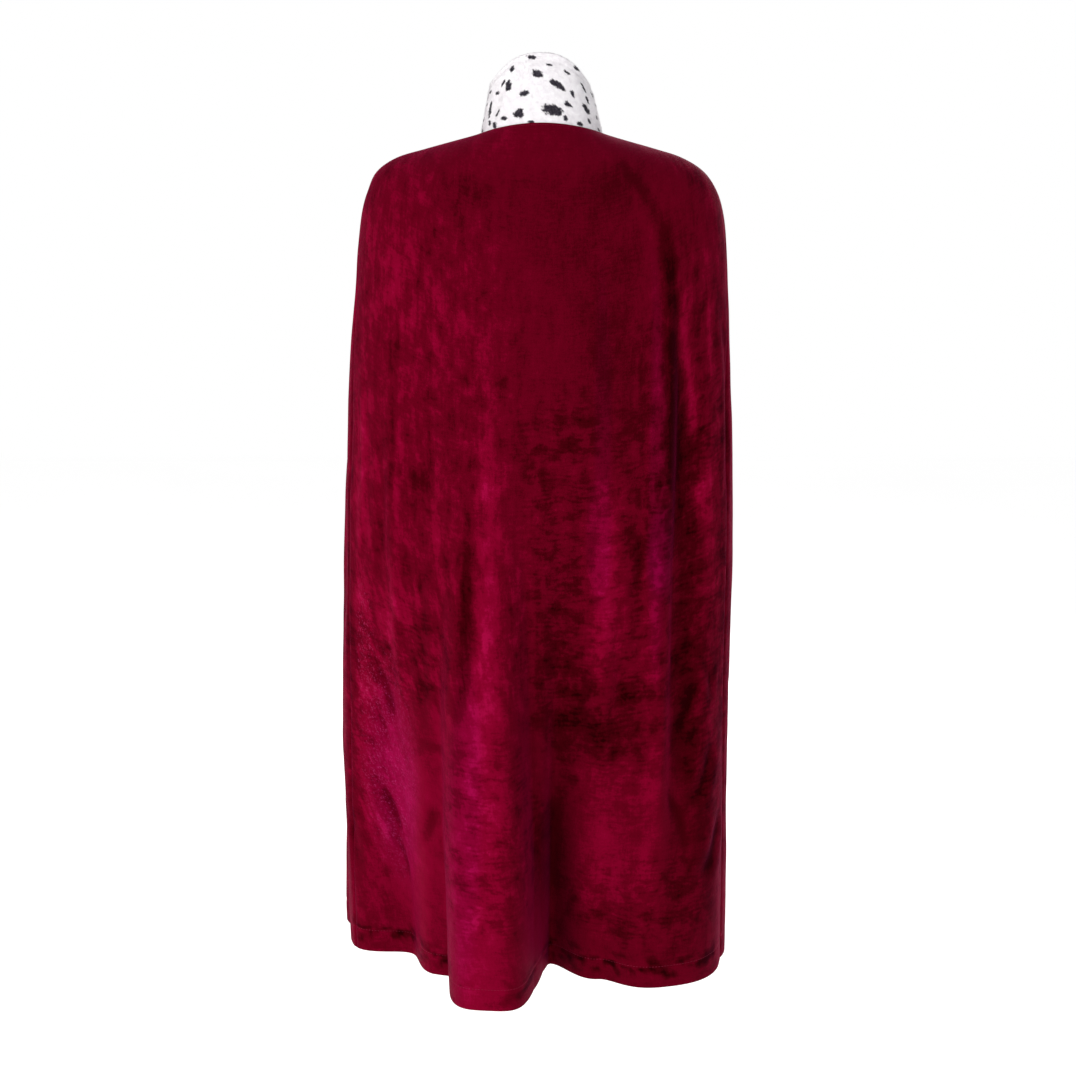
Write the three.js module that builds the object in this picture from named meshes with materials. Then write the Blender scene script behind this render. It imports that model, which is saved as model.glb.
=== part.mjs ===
// A royal mantle as it is worn: a long sleeveless cape of crimson velvet, open at the front, under a
// high stand collar of white plush. It is sewn from a back, two fronts and a collar cut on the fold,
// and closes at the throat with one furrier's hook and eye. The cloth is a thin wall that keeps the
// hollow form of a general pair of shoulders, with the wearer's front towards -Y and +X on the left.
// Millimetres, +Z up. The origin is the middle of the neck opening, level with the seam at the nape.
import * as THREE from "three";

// Cloth
const velvetThick = 1.6;
const hemThick = 3.2; // the turned-up hem is two layers
const hemDeep = 30;
const edgeHemWide = 16; // the narrow hem down each front edge
const hemStep = 2.5; // length over which one layer becomes two
const seamGap = 0.3;

// Collar
const plushThick = 5; // two layers of plush, folded over at the top
const collarEndGap = 5; // between the two ends at the throat
const collarRound = 2.2; // how far the folded top edge is drawn in
const collarBelly = 1.5; // how far it swells at half its height
const collarHemFrom = 0.78; // from here round to the throat it stands clear of the front hems
const collarHemRun = 0.12;

// Hook and eye
const wireRadius = 0.7;
const wireSides = 8;
const wireSeat = 0.45; // clear of the plush it is sewn to
const closingRise = 0.22; // how far up the collar it sits

// How finely each piece is divided
const backColumns = 62;
const frontColumns = 24;
const girthSteps = 240;
const normalReach = 0.006; // the share of the girth or height over which a normal is taken
const collarColumns = 52;

// The outline at the sides, a row for each level from the neck seam down to the hem. left and right
// are the ring's half widths, where it lies at sideZ, and leftY and rightY how far behind the middle
// of the neck it is widest.
const sides = [
  { down: 0.0, left: 79, right: 81, sideZ: -12, leftY: 0, rightY: 0 },
  { down: 0.03, left: 114, right: 113, sideZ: -21, leftY: 0, rightY: 0 },
  { down: 0.06, left: 151, right: 149, sideZ: -31, leftY: 0, rightY: 0 },
  { down: 0.09, left: 188, right: 183, sideZ: -42, leftY: 0, rightY: 0 },
  { down: 0.12, left: 214, right: 212, sideZ: -60, leftY: 0, rightY: 0 },
  { down: 0.145, left: 226, right: 229, sideZ: -84, leftY: 0, rightY: 0 },
  { down: 0.17, left: 234, right: 238, sideZ: -113, leftY: -1, rightY: 0 },
  { down: 0.2, left: 239, right: 242, sideZ: -150, leftY: -2, rightY: 1 },
  { down: 0.25, left: 245, right: 246, sideZ: -212, leftY: -4, rightY: 1 },
  { down: 0.33, left: 254, right: 251, sideZ: -310, leftY: -6, rightY: 2 },
  { down: 0.42, left: 260, right: 254, sideZ: -420, leftY: -10, rightY: 3 },
  { down: 0.55, left: 268, right: 257, sideZ: -578, leftY: -15, rightY: 4 },
  { down: 0.7, left: 273, right: 256, sideZ: -762, leftY: -21, rightY: 5 },
  { down: 0.85, left: 274, right: 257, sideZ: -945, leftY: -28, rightY: 6 },
  { down: 1.0, left: 271, right: 258, sideZ: -1128, leftY: -34, rightY: 6 },
];

// The outline at the middles, on the same levels: the ring's middle back point is (backY, backZ) and
// its middle front point (frontY, frontZ). square is 2 for an ellipse and more for a boxier ring.
const middles = [
  { down: 0.0, backY: 68, backZ: 0, frontY: -62, frontZ: -48, square: 2.0 },
  { down: 0.03, backY: 84, backZ: -31, frontY: -78, frontZ: -78, square: 2.05 },
  { down: 0.06, backY: 97, backZ: -64, frontY: -92, frontZ: -108, square: 2.1 },
  { down: 0.09, backY: 107, backZ: -98, frontY: -104, frontZ: -138, square: 2.15 },
  { down: 0.12, backY: 115, backZ: -132, frontY: -113, frontZ: -170, square: 2.2 },
  { down: 0.145, backY: 120, backZ: -160, frontY: -119, frontZ: -197, square: 2.25 },
  { down: 0.17, backY: 124, backZ: -189, frontY: -124, frontZ: -225, square: 2.3 },
  { down: 0.2, backY: 127, backZ: -223, frontY: -128, frontZ: -258, square: 2.35 },
  { down: 0.25, backY: 129, backZ: -281, frontY: -131, frontZ: -313, square: 2.4 },
  { down: 0.33, backY: 130, backZ: -372, frontY: -132, frontZ: -400, square: 2.5 },
  { down: 0.42, backY: 130, backZ: -475, frontY: -131, frontZ: -498, square: 2.5 },
  { down: 0.55, backY: 129, backZ: -624, frontY: -129, frontZ: -640, square: 2.5 },
  { down: 0.7, backY: 127, backZ: -795, frontY: -126, frontZ: -803, square: 2.5 },
  { down: 0.85, backY: 126, backZ: -962, frontY: -123, frontZ: -966, square: 2.5 },
  { down: 1.0, backY: 125, backZ: -1128, frontY: -121, frontZ: -1128, square: 2.5 },
];

// The folds. around is where the crest is on the hem, in millimetres from the middle of the back,
// positive on the wearer's left. near and far are the fold's half widths towards the middle of the
// back and away from it. out is how far the cloth stands out there, negative in a hollow; spread is
// how far the flanks are pushed apart; blunt is 1 for a plain wave and 2 for a broad crest with steep
// flanks. A fold starts at the share from of the way down, has its full depth from full to hold, and
// is gone at gone; lean is how far it swings towards the wearer's left from the neck to the hem.
const folds = [
  {
    around: 60, near: 58, far: 65, out: 96, spread: 9, blunt: 1.8,
    from: 0.3, full: 1.0, hold: 1, gone: 2, lean: -30,
  },
  {
    around: -12, near: 28, far: 64, out: -52, spread: -5, blunt: 1.0,
    from: 0.4, full: 1.0, hold: 1, gone: 2, lean: 25,
  },
  {
    around: 216, near: 70, far: 88, out: -46, spread: 0, blunt: 1.0,
    from: 0.4, full: 1.0, hold: 1, gone: 2, lean: 0,
  },
  {
    around: -162, near: 84, far: 112, out: 37, spread: 6, blunt: 1.4,
    from: 0.5, full: 1.0, hold: 1, gone: 2, lean: 0,
  },
  {
    around: -143, near: 26, far: 20, out: 10, spread: 2, blunt: 1.0,
    from: 0.15, full: 0.35, hold: 0.7, gone: 0.92, lean: 19,
  },
  {
    around: -170, near: 22, far: 40, out: -13, spread: 0, blunt: 1.0,
    from: 0.2, full: 0.42, hold: 0.7, gone: 0.95, lean: 19,
  },
  {
    around: -76, near: 26, far: 26, out: 8, spread: 0, blunt: 1.0,
    from: 0.44, full: 0.6, hold: 0.64, gone: 0.82, lean: 0,
  },
  {
    around: 190, near: 20, far: 18, out: 6, spread: 0, blunt: 1.0,
    from: 0.3, full: 0.5, hold: 0.62, gone: 0.76, lean: -10,
  },
  {
    around: 136, near: 20, far: 18, out: 6, spread: 0, blunt: 1.0,
    from: 0.4, full: 0.56, hold: 0.62, gone: 0.78, lean: -6,
  },
  {
    around: 424, near: 56, far: 50, out: 34, spread: 5, blunt: 1.4,
    from: 0.34, full: 1.0, hold: 1, gone: 2, lean: -14,
  },
  {
    around: 496, near: 40, far: 34, out: -22, spread: -3, blunt: 1.0,
    from: 0.42, full: 1.0, hold: 1, gone: 2, lean: 0,
  },
  {
    around: 552, near: 34, far: 60, out: 20, spread: 3, blunt: 1.2,
    from: 0.25, full: 0.9, hold: 1, gone: 2, lean: 12,
  },
  {
    around: -424, near: 62, far: 54, out: 32, spread: 6, blunt: 1.5,
    from: 0.28, full: 1.0, hold: 1, gone: 2, lean: 18,
  },
  {
    around: -510, near: 48, far: 40, out: -30, spread: -3, blunt: 1.0,
    from: 0.46, full: 1.0, hold: 1, gone: 2, lean: -8,
  },
];

// Where the side seam lies, as an angle round from the middle of the back, and how far each front
// edge hangs from the middle of the front.
const seamLine = [
  { down: 0.0, angle: 93, edge: 7 },
  { down: 0.1, angle: 91, edge: 12 },
  { down: 0.2, angle: 82, edge: 20 },
  { down: 0.35, angle: 74, edge: 32 },
  { down: 0.6, angle: 72, edge: 50 },
  { down: 1.0, angle: 72, edge: 72 },
];

// The collar, a row for each level from its folded top to its foot. rise is the share of its height,
// and drawn how far the fold is drawn in there.
const collarRows = [
  { rise: 1.0, drawn: 1.0 },
  { rise: 0.98, drawn: 0.4 },
  { rise: 0.93, drawn: 0.0 },
  { rise: 0.76, drawn: 0.0 },
  { rise: 0.58, drawn: 0.0 },
  { rise: 0.38, drawn: 0.0 },
  { rise: 0.18, drawn: 0.0 },
  { rise: 0.0, drawn: 0.0 },
  { rise: -0.14, drawn: 0.0 },
];
// The collar's top ring, which leans forward with the neck
const collarTop = {
  left: 65,
  right: 62,
  sideZ: 51,
  leftY: 0,
  rightY: 0,
  backY: 47,
  backZ: 87,
  frontY: -68,
  frontZ: 14,
  square: 2.5,
};

const clamp01 = (value) => Math.min(1, Math.max(0, value));
const smooth = (value) => value * value * (3 - 2 * value);

// A smooth curve through one column of a table, read at the share `down`.
function columnOf(table, name, down) {
  const last = table.length - 1;
  let i = 0;
  while (i < last - 1 && down > table[i + 1].down) i += 1;
  const slopeAt = (k) => {
    const before = table[Math.max(0, k - 1)];
    const after = table[Math.min(last, k + 1)];
    return (after[name] - before[name]) / (after.down - before.down);
  };
  const a = table[i];
  const b = table[i + 1];
  const span = b.down - a.down;
  const t = clamp01((down - a.down) / span);
  const t2 = t * t;
  const t3 = t2 * t;
  return (
    (2 * t3 - 3 * t2 + 1) * a[name] +
    (t3 - 2 * t2 + t) * span * slopeAt(i) +
    (3 * t2 - 2 * t3) * b[name] +
    (t3 - t2) * span * slopeAt(i + 1)
  );
}

// The plain ring at one level, with no folds. angle is 0 at the middle of the back, and half a turn
// at the middle of the front; side is 1 on the wearer's left and -1 on the right.
function ringPoint(level, side, angle) {
  const s = Math.sin(angle);
  const c = Math.cos(angle);
  const power = 2 / level.square;
  const behind = c >= 0;
  const halfWide = side > 0 ? level.left : level.right;
  const widest = side > 0 ? level.leftY : level.rightY;
  return new THREE.Vector3(
    side * halfWide * Math.pow(Math.max(0, s), power),
    (behind ? level.backY : level.frontY) * Math.pow(Math.abs(c), power) + widest * s * s,
    level.sideZ + ((behind ? level.backZ : level.frontZ) - level.sideZ) * c * c,
  );
}

// One level's half ring, with the lengths along it, so that a point can be found by its distance.
const halfRings = new Map();
function halfRing(down, side) {
  const key = `${down.toFixed(6)} ${side}`;
  if (halfRings.has(key)) return halfRings.get(key);
  const level = {};
  for (const table of [sides, middles]) {
    for (const name of Object.keys(table[0])) level[name] = columnOf(table, name, down);
  }
  const points = [];
  const lengths = [0];
  for (let i = 0; i <= girthSteps; i += 1) {
    points.push(ringPoint(level, side, (Math.PI * i) / girthSteps));
    if (i > 0) lengths.push(lengths[i - 1] + points[i].distanceTo(points[i - 1]));
  }
  const ring = { level, side, points, lengths, girth: lengths[girthSteps] };
  halfRings.set(key, ring);
  return ring;
}

// The share of the half girth at which an angle lies.
function shareAtAngle(ring, degrees) {
  const at = (degrees / 180) * girthSteps;
  const i = Math.min(girthSteps - 1, Math.floor(at));
  return (ring.lengths[i] + (ring.lengths[i + 1] - ring.lengths[i]) * (at - i)) / ring.girth;
}

// The plain ring's point at a share of the half girth.
function pointAtShare(ring, share) {
  const target = share * ring.girth;
  let low = 0;
  let high = girthSteps;
  while (high - low > 1) {
    const middle = (low + high) >> 1;
    if (ring.lengths[middle] <= target) low = middle;
    else high = middle;
  }
  const part = (target - ring.lengths[low]) / (ring.lengths[high] - ring.lengths[low]);
  return ring.points[low].clone().lerp(ring.points[high], part);
}

// How far the folds move the cloth out from the plain ring, and along it, at one place.
function foldsAt(around, down) {
  let out = 0;
  let along = 0;
  for (const fold of folds) {
    const grown =
      smooth(clamp01((down - fold.from) / (fold.full - fold.from))) *
      smooth(clamp01((fold.gone - down) / (fold.gone - fold.hold)));
    const offset = around - fold.around - fold.lean * (down - 1);
    const away = offset * Math.sign(fold.around) > 0;
    const q = offset / (away ? fold.far : fold.near);
    if (Math.abs(q) >= 1) continue;
    out += fold.out * grown * 0.5 * (1 + Math.cos(Math.PI * Math.pow(Math.abs(q), fold.blunt)));
    along += fold.spread * grown * Math.sin(Math.PI * q);
  }
  return { out, along };
}

// A point of the plain rings. place runs from 0 at the middle of the back to 1 at the middle of the
// front, round the wearer's left, and to -1 round the right.
function plainPoint(place, down) {
  return pointAtShare(halfRing(down, place < 0 ? -1 : 1), Math.min(1, Math.abs(place)));
}

// A point of the mantle's outer face, folds and all.
function clothPoint(place, down) {
  const hemGirth = halfRing(1, place < 0 ? -1 : 1).girth;
  const { out, along } = foldsAt(place * hemGirth, down);
  const moved = place + along / hemGirth;
  const point = plainPoint(moved, down);
  if (out === 0) return point;
  const chord = plainPoint(moved + normalReach, down).sub(plainPoint(moved - normalReach, down));
  return point.addScaledVector(new THREE.Vector3(-chord.y, chord.x, 0).normalize(), out);
}

// The outer face's own normal at a place.
function clothNormal(place, down) {
  const low = Math.max(0, down - normalReach);
  const high = Math.min(1, down + normalReach);
  const across = clothPoint(place + normalReach, down).sub(clothPoint(place - normalReach, down));
  const downward = clothPoint(place, high).sub(clothPoint(place, low));
  return across.cross(downward).normalize();
}

// A closed wall from a grid of points, each with its outer place, its normal and its thickness. Rows
// run down and columns run to the wearer's right.
function wallFrom(grid) {
  const rows = grid.length;
  const columns = grid[0].length;
  const positions = [];
  for (const row of grid) for (const { outer } of row) positions.push(...outer);
  for (const row of grid) {
    for (const { outer, normal, thick } of row) {
      positions.push(...outer.clone().addScaledVector(normal, -thick));
    }
  }
  const index = [];
  const layer = rows * columns;
  const at = (i, j, inner) => i * columns + j + (inner ? layer : 0);
  const face = (a, b, c, d) => index.push(a, b, c, a, c, d);
  for (let i = 0; i < rows - 1; i += 1) {
    for (let j = 0; j < columns - 1; j += 1) {
      face(at(i, j), at(i + 1, j), at(i + 1, j + 1), at(i, j + 1));
      face(at(i, j, true), at(i, j + 1, true), at(i + 1, j + 1, true), at(i + 1, j, true));
    }
  }
  const foot = rows - 1;
  for (let j = 0; j < columns - 1; j += 1) {
    face(at(0, j), at(0, j + 1), at(0, j + 1, true), at(0, j, true));
    face(at(foot, j), at(foot, j, true), at(foot, j + 1, true), at(foot, j + 1));
  }
  const edge = columns - 1;
  for (let i = 0; i < rows - 1; i += 1) {
    face(at(i, 0), at(i, 0, true), at(i + 1, 0, true), at(i + 1, 0));
    face(at(i, edge), at(i + 1, edge), at(i + 1, edge, true), at(i, edge, true));
  }
  const geometry = new THREE.BufferGeometry();
  geometry.setAttribute("position", new THREE.Float32BufferAttribute(positions, 3));
  geometry.setIndex(index);
  return geometry;
}

// The levels at which the velvet is divided: close over the shoulders, and again at the hem.
const velvetLong = -middles[middles.length - 1].backZ;
const shoulderLevels = [0, 0.015, 0.03, 0.045, 0.06, 0.08, 0.1, 0.12, 0.14, 0.16, 0.185, 0.215];
const skirtSteps = 16;
function velvetLevels() {
  const first = shoulderLevels[shoulderLevels.length - 1];
  const fold = 1 - hemDeep / velvetLong;
  const skirt = [];
  for (let i = 1; i < skirtSteps; i += 1) skirt.push(first + ((fold - first) * i) / skirtSteps);
  return [...shoulderLevels, ...skirt, fold - hemStep / velvetLong, fold, (1 + fold) / 2, 1];
}

function hemGrowth(down) {
  return clamp01((down - (1 - hemDeep / velvetLong)) / (hemStep / velvetLong) + 1);
}

const seamShare = (down, side) => shareAtAngle(halfRing(down, side), columnOf(seamLine, "angle", down));

// A panel of velvet. placesAt gives one level's places across the panel; hemmed says which of its
// columns lie in a turned hem.
function panelGeometry(placesAt, hemmed) {
  return wallFrom(
    velvetLevels().map((down) =>
      placesAt(down).map((place, column) => ({
        outer: clothPoint(place, down),
        normal: clothNormal(place, down),
        thick: velvetThick + (hemThick - velvetThick) * Math.max(hemGrowth(down), hemmed(column)),
      })),
    ),
  );
}

// Shares from 0 to 1 that cut the hem between two places into equal lengths of cloth, so that the
// steep folds are divided as finely as the rest.
function evenShares(start, end, count) {
  const steps = 600;
  const lengths = [0];
  let before = clothPoint(start, 1);
  for (let i = 1; i <= steps; i += 1) {
    const point = clothPoint(start + ((end - start) * i) / steps, 1);
    lengths.push(lengths[i - 1] + point.distanceTo(before));
    before = point;
  }
  const shares = [];
  let i = 0;
  for (let k = 0; k <= count; k += 1) {
    const target = (lengths[steps] * k) / count;
    while (i < steps - 1 && lengths[i + 1] < target) i += 1;
    shares.push((i + (target - lengths[i]) / (lengths[i + 1] - lengths[i])) / steps);
  }
  return shares;
}

function backGeometry() {
  const edgeAt = (down, side) => {
    const { girth } = halfRing(down, side);
    return side * (seamShare(down, side) - seamGap / 2 / girth);
  };
  const left = edgeAt(1, 1);
  const right = edgeAt(1, -1);
  const hemPlaces = evenShares(left, right, backColumns).map((share) => left + (right - left) * share);
  const placeAt = (place, down) => {
    const side = place > 0 ? 1 : -1;
    return (place / edgeAt(1, side)) * edgeAt(down, side);
  };
  return panelGeometry(
    (down) => hemPlaces.map((place) => placeAt(place, down)),
    () => 0,
  );
}

function frontGeometry(side) {
  const plainColumns = frontColumns - 3;
  const order = (list) => (side > 0 ? list.reverse() : list);
  const hemmed = order([...Array(plainColumns + 1).fill(0), 1, 1, 1]);
  const edgeAt = (down) => 1 - columnOf(seamLine, "edge", down) / halfRing(down, side).girth;
  const shares = evenShares(side * seamShare(1, side), side * edgeAt(1), plainColumns);
  return panelGeometry(
    (down) => {
      const { girth } = halfRing(down, side);
      const start = seamShare(down, side) + seamGap / 2 / girth;
      const end = edgeAt(down);
      const turn = end - edgeHemWide / girth;
      const stitch = turn - hemStep / girth;
      const places = [];
      for (const share of shares.slice(0, -1)) places.push(start + (stitch - start) * share);
      return order([...places, stitch, turn, (turn + end) / 2, end].map((share) => side * share));
    },
    (column) => hemmed[column],
  );
}

// A point of the collar's outer face. rise is the share of its height, drawn how far the folded top
// is drawn in.
function collarPoint(rise, place, drawn) {
  const side = place < 0 ? -1 : 1;
  const angle = Math.PI * Math.abs(place);
  const hemmed = smooth(clamp01((Math.abs(place) - collarHemFrom) / collarHemRun));
  const clear = velvetThick + (hemThick - velvetThick) * hemmed + seamGap;
  const seam = { ...halfRing(0, side).level };
  seam.left -= clear;
  seam.right -= clear;
  seam.backY -= clear;
  seam.frontY += clear;
  const foot = ringPoint(seam, side, angle);
  const top = ringPoint(collarTop, side, angle);
  const height = top.z - foot.z;
  const point = foot.clone().lerp(top, Math.max(0, rise));
  if (rise < 0) point.z += rise * height;
  const inward = new THREE.Vector3(-point.x, -point.y, 0).normalize();
  const swell = rise > 0 ? Math.sin(Math.PI * rise) * collarBelly : 0;
  return point.addScaledVector(inward, drawn * collarRound - swell);
}

function collarGeometry() {
  const lastPlace = 1 - Math.asin(collarEndGap / 2 / collarTop.left) / Math.PI;
  return wallFrom(
    collarRows.map(({ rise, drawn }) => {
      const row = [];
      for (let j = 0; j <= collarColumns; j += 1) {
        const place = (1 - (2 * j) / collarColumns) * lastPlace;
        const outer = collarPoint(rise, place, drawn);
        const across = collarPoint(rise, place + normalReach, drawn);
        across.sub(collarPoint(rise, place - normalReach, drawn));
        const normal = new THREE.Vector3(-across.y, across.x, 0).normalize();
        row.push({ outer, normal, thick: plushThick - 2 * drawn * collarRound });
      }
      return row;
    }),
  );
}

// The hook and the eye, as the middle line of their wire on the inside of the collar. side is towards
// the wearer's left from the middle of the throat, up is up the collar, and off is how far the wire
// stands off its seat. The hook holds the left end of the collar and the eye the right.
const hookPath = [
  { side: 11.2, up: 1.9, off: 0.0 },
  { side: 12.4, up: 1.7, off: 0.0 },
  { side: 13.9, up: 2.3, off: 0.0 },
  { side: 14.3, up: 4.0, off: 0.0 },
  { side: 13.0, up: 5.2, off: 0.0 },
  { side: 11.3, up: 4.9, off: 0.0 },
  { side: 9.6, up: 3.2, off: 0.0 },
  { side: 7.6, up: 1.5, off: 0.0 },
  { side: 5.0, up: 1.1, off: 0.0 },
  { side: 0.5, up: 1.1, off: 0.0 },
  { side: -4.5, up: 1.1, off: 0.0 },
  { side: -5.8, up: 1.1, off: 0.6 },
  { side: -6.2, up: 1.1, off: 1.8 },
  { side: -5.8, up: 1.1, off: 3.0 },
  { side: -4.5, up: 1.1, off: 3.6 },
  { side: -1.5, up: 1.1, off: 3.6 },
  { side: -0.2, up: 0.9, off: 3.7 },
  { side: 0.3, up: 0.0, off: 3.8 },
];
const eyePath = [
  { side: -13.4, up: 2.6, off: 0.0 },
  { side: -14.6, up: 2.3, off: 0.0 },
  { side: -16.1, up: 2.9, off: 0.0 },
  { side: -16.5, up: 4.5, off: 0.0 },
  { side: -15.3, up: 5.8, off: 0.0 },
  { side: -13.5, up: 5.7, off: 0.0 },
  { side: -11.9, up: 4.5, off: 0.2 },
  { side: -10.2, up: 3.8, off: 0.9 },
  { side: -8.8, up: 3.6, off: 1.6 },
  { side: -7.4, up: 3.5, off: 1.8 },
  { side: -5.5, up: 3.0, off: 1.8 },
  { side: -4.2, up: 1.7, off: 1.8 },
  { side: -3.9, up: 0.0, off: 1.8 },
];

// A point off the inside of the collar near the throat.
function insidePoint({ side, up, off }) {
  const hand = side < 0 ? -1 : 1;
  const wide = hand > 0 ? collarTop.left : collarTop.right;
  const placeAt = (distance) => hand * (1 - Math.asin(Math.abs(distance) / wide) / Math.PI);
  const tall = collarTop.frontZ - middles[0].frontZ;
  const rise = closingRise + up / tall;
  const point = collarPoint(rise, placeAt(side), 0);
  const across = collarPoint(rise, placeAt(side + hand), 0).sub(point).multiplyScalar(hand);
  const inward = new THREE.Vector3(-across.y, across.x, 0).normalize();
  return point.addScaledVector(inward, plushThick + wireSeat + wireRadius + off);
}

// A wire of one thickness along a path that is mirrored in its own last point.
function wireGeometry(path) {
  const middle = path[path.length - 1];
  const way = path.slice(0, -1);
  const back = way.reverse().map(({ side, up, off }) => ({ side, up: 2 * middle.up - up, off }));
  const points = [...path, ...back].map(insidePoint);
  const tangents = points.map((point, i) =>
    points[Math.min(points.length - 1, i + 1)].clone().sub(points[Math.max(0, i - 1)]).normalize(),
  );
  const positions = [];
  let across = new THREE.Vector3(0, 0, 1);
  points.forEach((point, i) => {
    across = across.addScaledVector(tangents[i], -across.dot(tangents[i])).normalize();
    const over = tangents[i].clone().cross(across);
    for (let k = 0; k < wireSides; k += 1) {
      const turn = (2 * Math.PI * k) / wireSides;
      positions.push(
        ...point
          .clone()
          .addScaledVector(across, wireRadius * Math.cos(turn))
          .addScaledVector(over, wireRadius * Math.sin(turn)),
      );
    }
  });
  const index = [];
  const last = points.length - 1;
  for (let i = 0; i < last; i += 1) {
    for (let k = 0; k < wireSides; k += 1) {
      const next = (k + 1) % wireSides;
      const here = i * wireSides;
      const after = here + wireSides;
      index.push(here + k, here + next, after + next, here + k, after + next, after + k);
    }
  }
  for (let k = 1; k < wireSides - 1; k += 1) {
    index.push(0, k + 1, k);
    index.push(last * wireSides, last * wireSides + k, last * wireSides + k + 1);
  }
  const geometry = new THREE.BufferGeometry();
  geometry.setAttribute("position", new THREE.Float32BufferAttribute(positions, 3));
  geometry.setIndex(index);
  return geometry;
}

// A cloth or metal surface in one colour.
function surface(name, color, roughness, metalness) {
  return new THREE.MeshStandardMaterial({ name, color, roughness, metalness });
}
const velvet = surface("velvet", 0x6e0a28, 0.75, 0);
const plush = surface("plush", 0xf3eff2, 0.95, 0);
const wire = surface("nickel_wire", 0xb8b5ae, 0.35, 1);

function piece(name, geometry, material) {
  const mesh = new THREE.Mesh(geometry, material);
  mesh.name = name;
  return mesh;
}

const mantle = new THREE.Group();
mantle.name = "royal_mantle";
mantle.add(piece("back", backGeometry(), velvet));
mantle.add(piece("front_left", frontGeometry(1), velvet));
mantle.add(piece("front_right", frontGeometry(-1), velvet));
mantle.add(piece("collar", collarGeometry(), plush));
mantle.add(piece("neck_hook", wireGeometry(hookPath), wire));
mantle.add(piece("neck_eye", wireGeometry(eyePath), wire));

export default mantle;
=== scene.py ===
import math

import bpy
import numpy as np
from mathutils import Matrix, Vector, noise


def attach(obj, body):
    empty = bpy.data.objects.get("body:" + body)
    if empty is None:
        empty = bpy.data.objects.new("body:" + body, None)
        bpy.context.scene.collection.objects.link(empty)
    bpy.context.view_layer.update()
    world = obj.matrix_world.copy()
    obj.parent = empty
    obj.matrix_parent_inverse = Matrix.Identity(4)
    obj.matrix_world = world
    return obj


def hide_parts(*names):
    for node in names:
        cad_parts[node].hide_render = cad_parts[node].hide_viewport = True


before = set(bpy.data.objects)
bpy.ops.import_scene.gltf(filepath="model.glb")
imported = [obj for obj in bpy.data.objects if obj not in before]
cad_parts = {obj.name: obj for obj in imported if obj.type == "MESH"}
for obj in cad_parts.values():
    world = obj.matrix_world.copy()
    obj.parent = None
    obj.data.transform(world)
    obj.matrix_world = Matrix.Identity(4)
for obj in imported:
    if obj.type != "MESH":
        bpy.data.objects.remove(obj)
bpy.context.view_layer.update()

print("frame loaded")

# The cut is in millimetres, as a pattern is drafted. The meshes are in metres.
mm = 0.001

view = {
    "place": (0.004, 2.372, -0.0976),  # behind it, at shoulder height
    "tilt": 10.7,  # degrees down
    "lens": 59.65,
}


def addCamera():
    turn = (math.radians(90 - view["tilt"]), 0, math.pi)
    bpy.ops.object.camera_add(location=view["place"], rotation=turn)
    camera = bpy.context.object
    camera.name = "backViewCamera"
    camera.data.lens = view["lens"]
    bpy.context.scene.camera = camera


addCamera()

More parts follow.
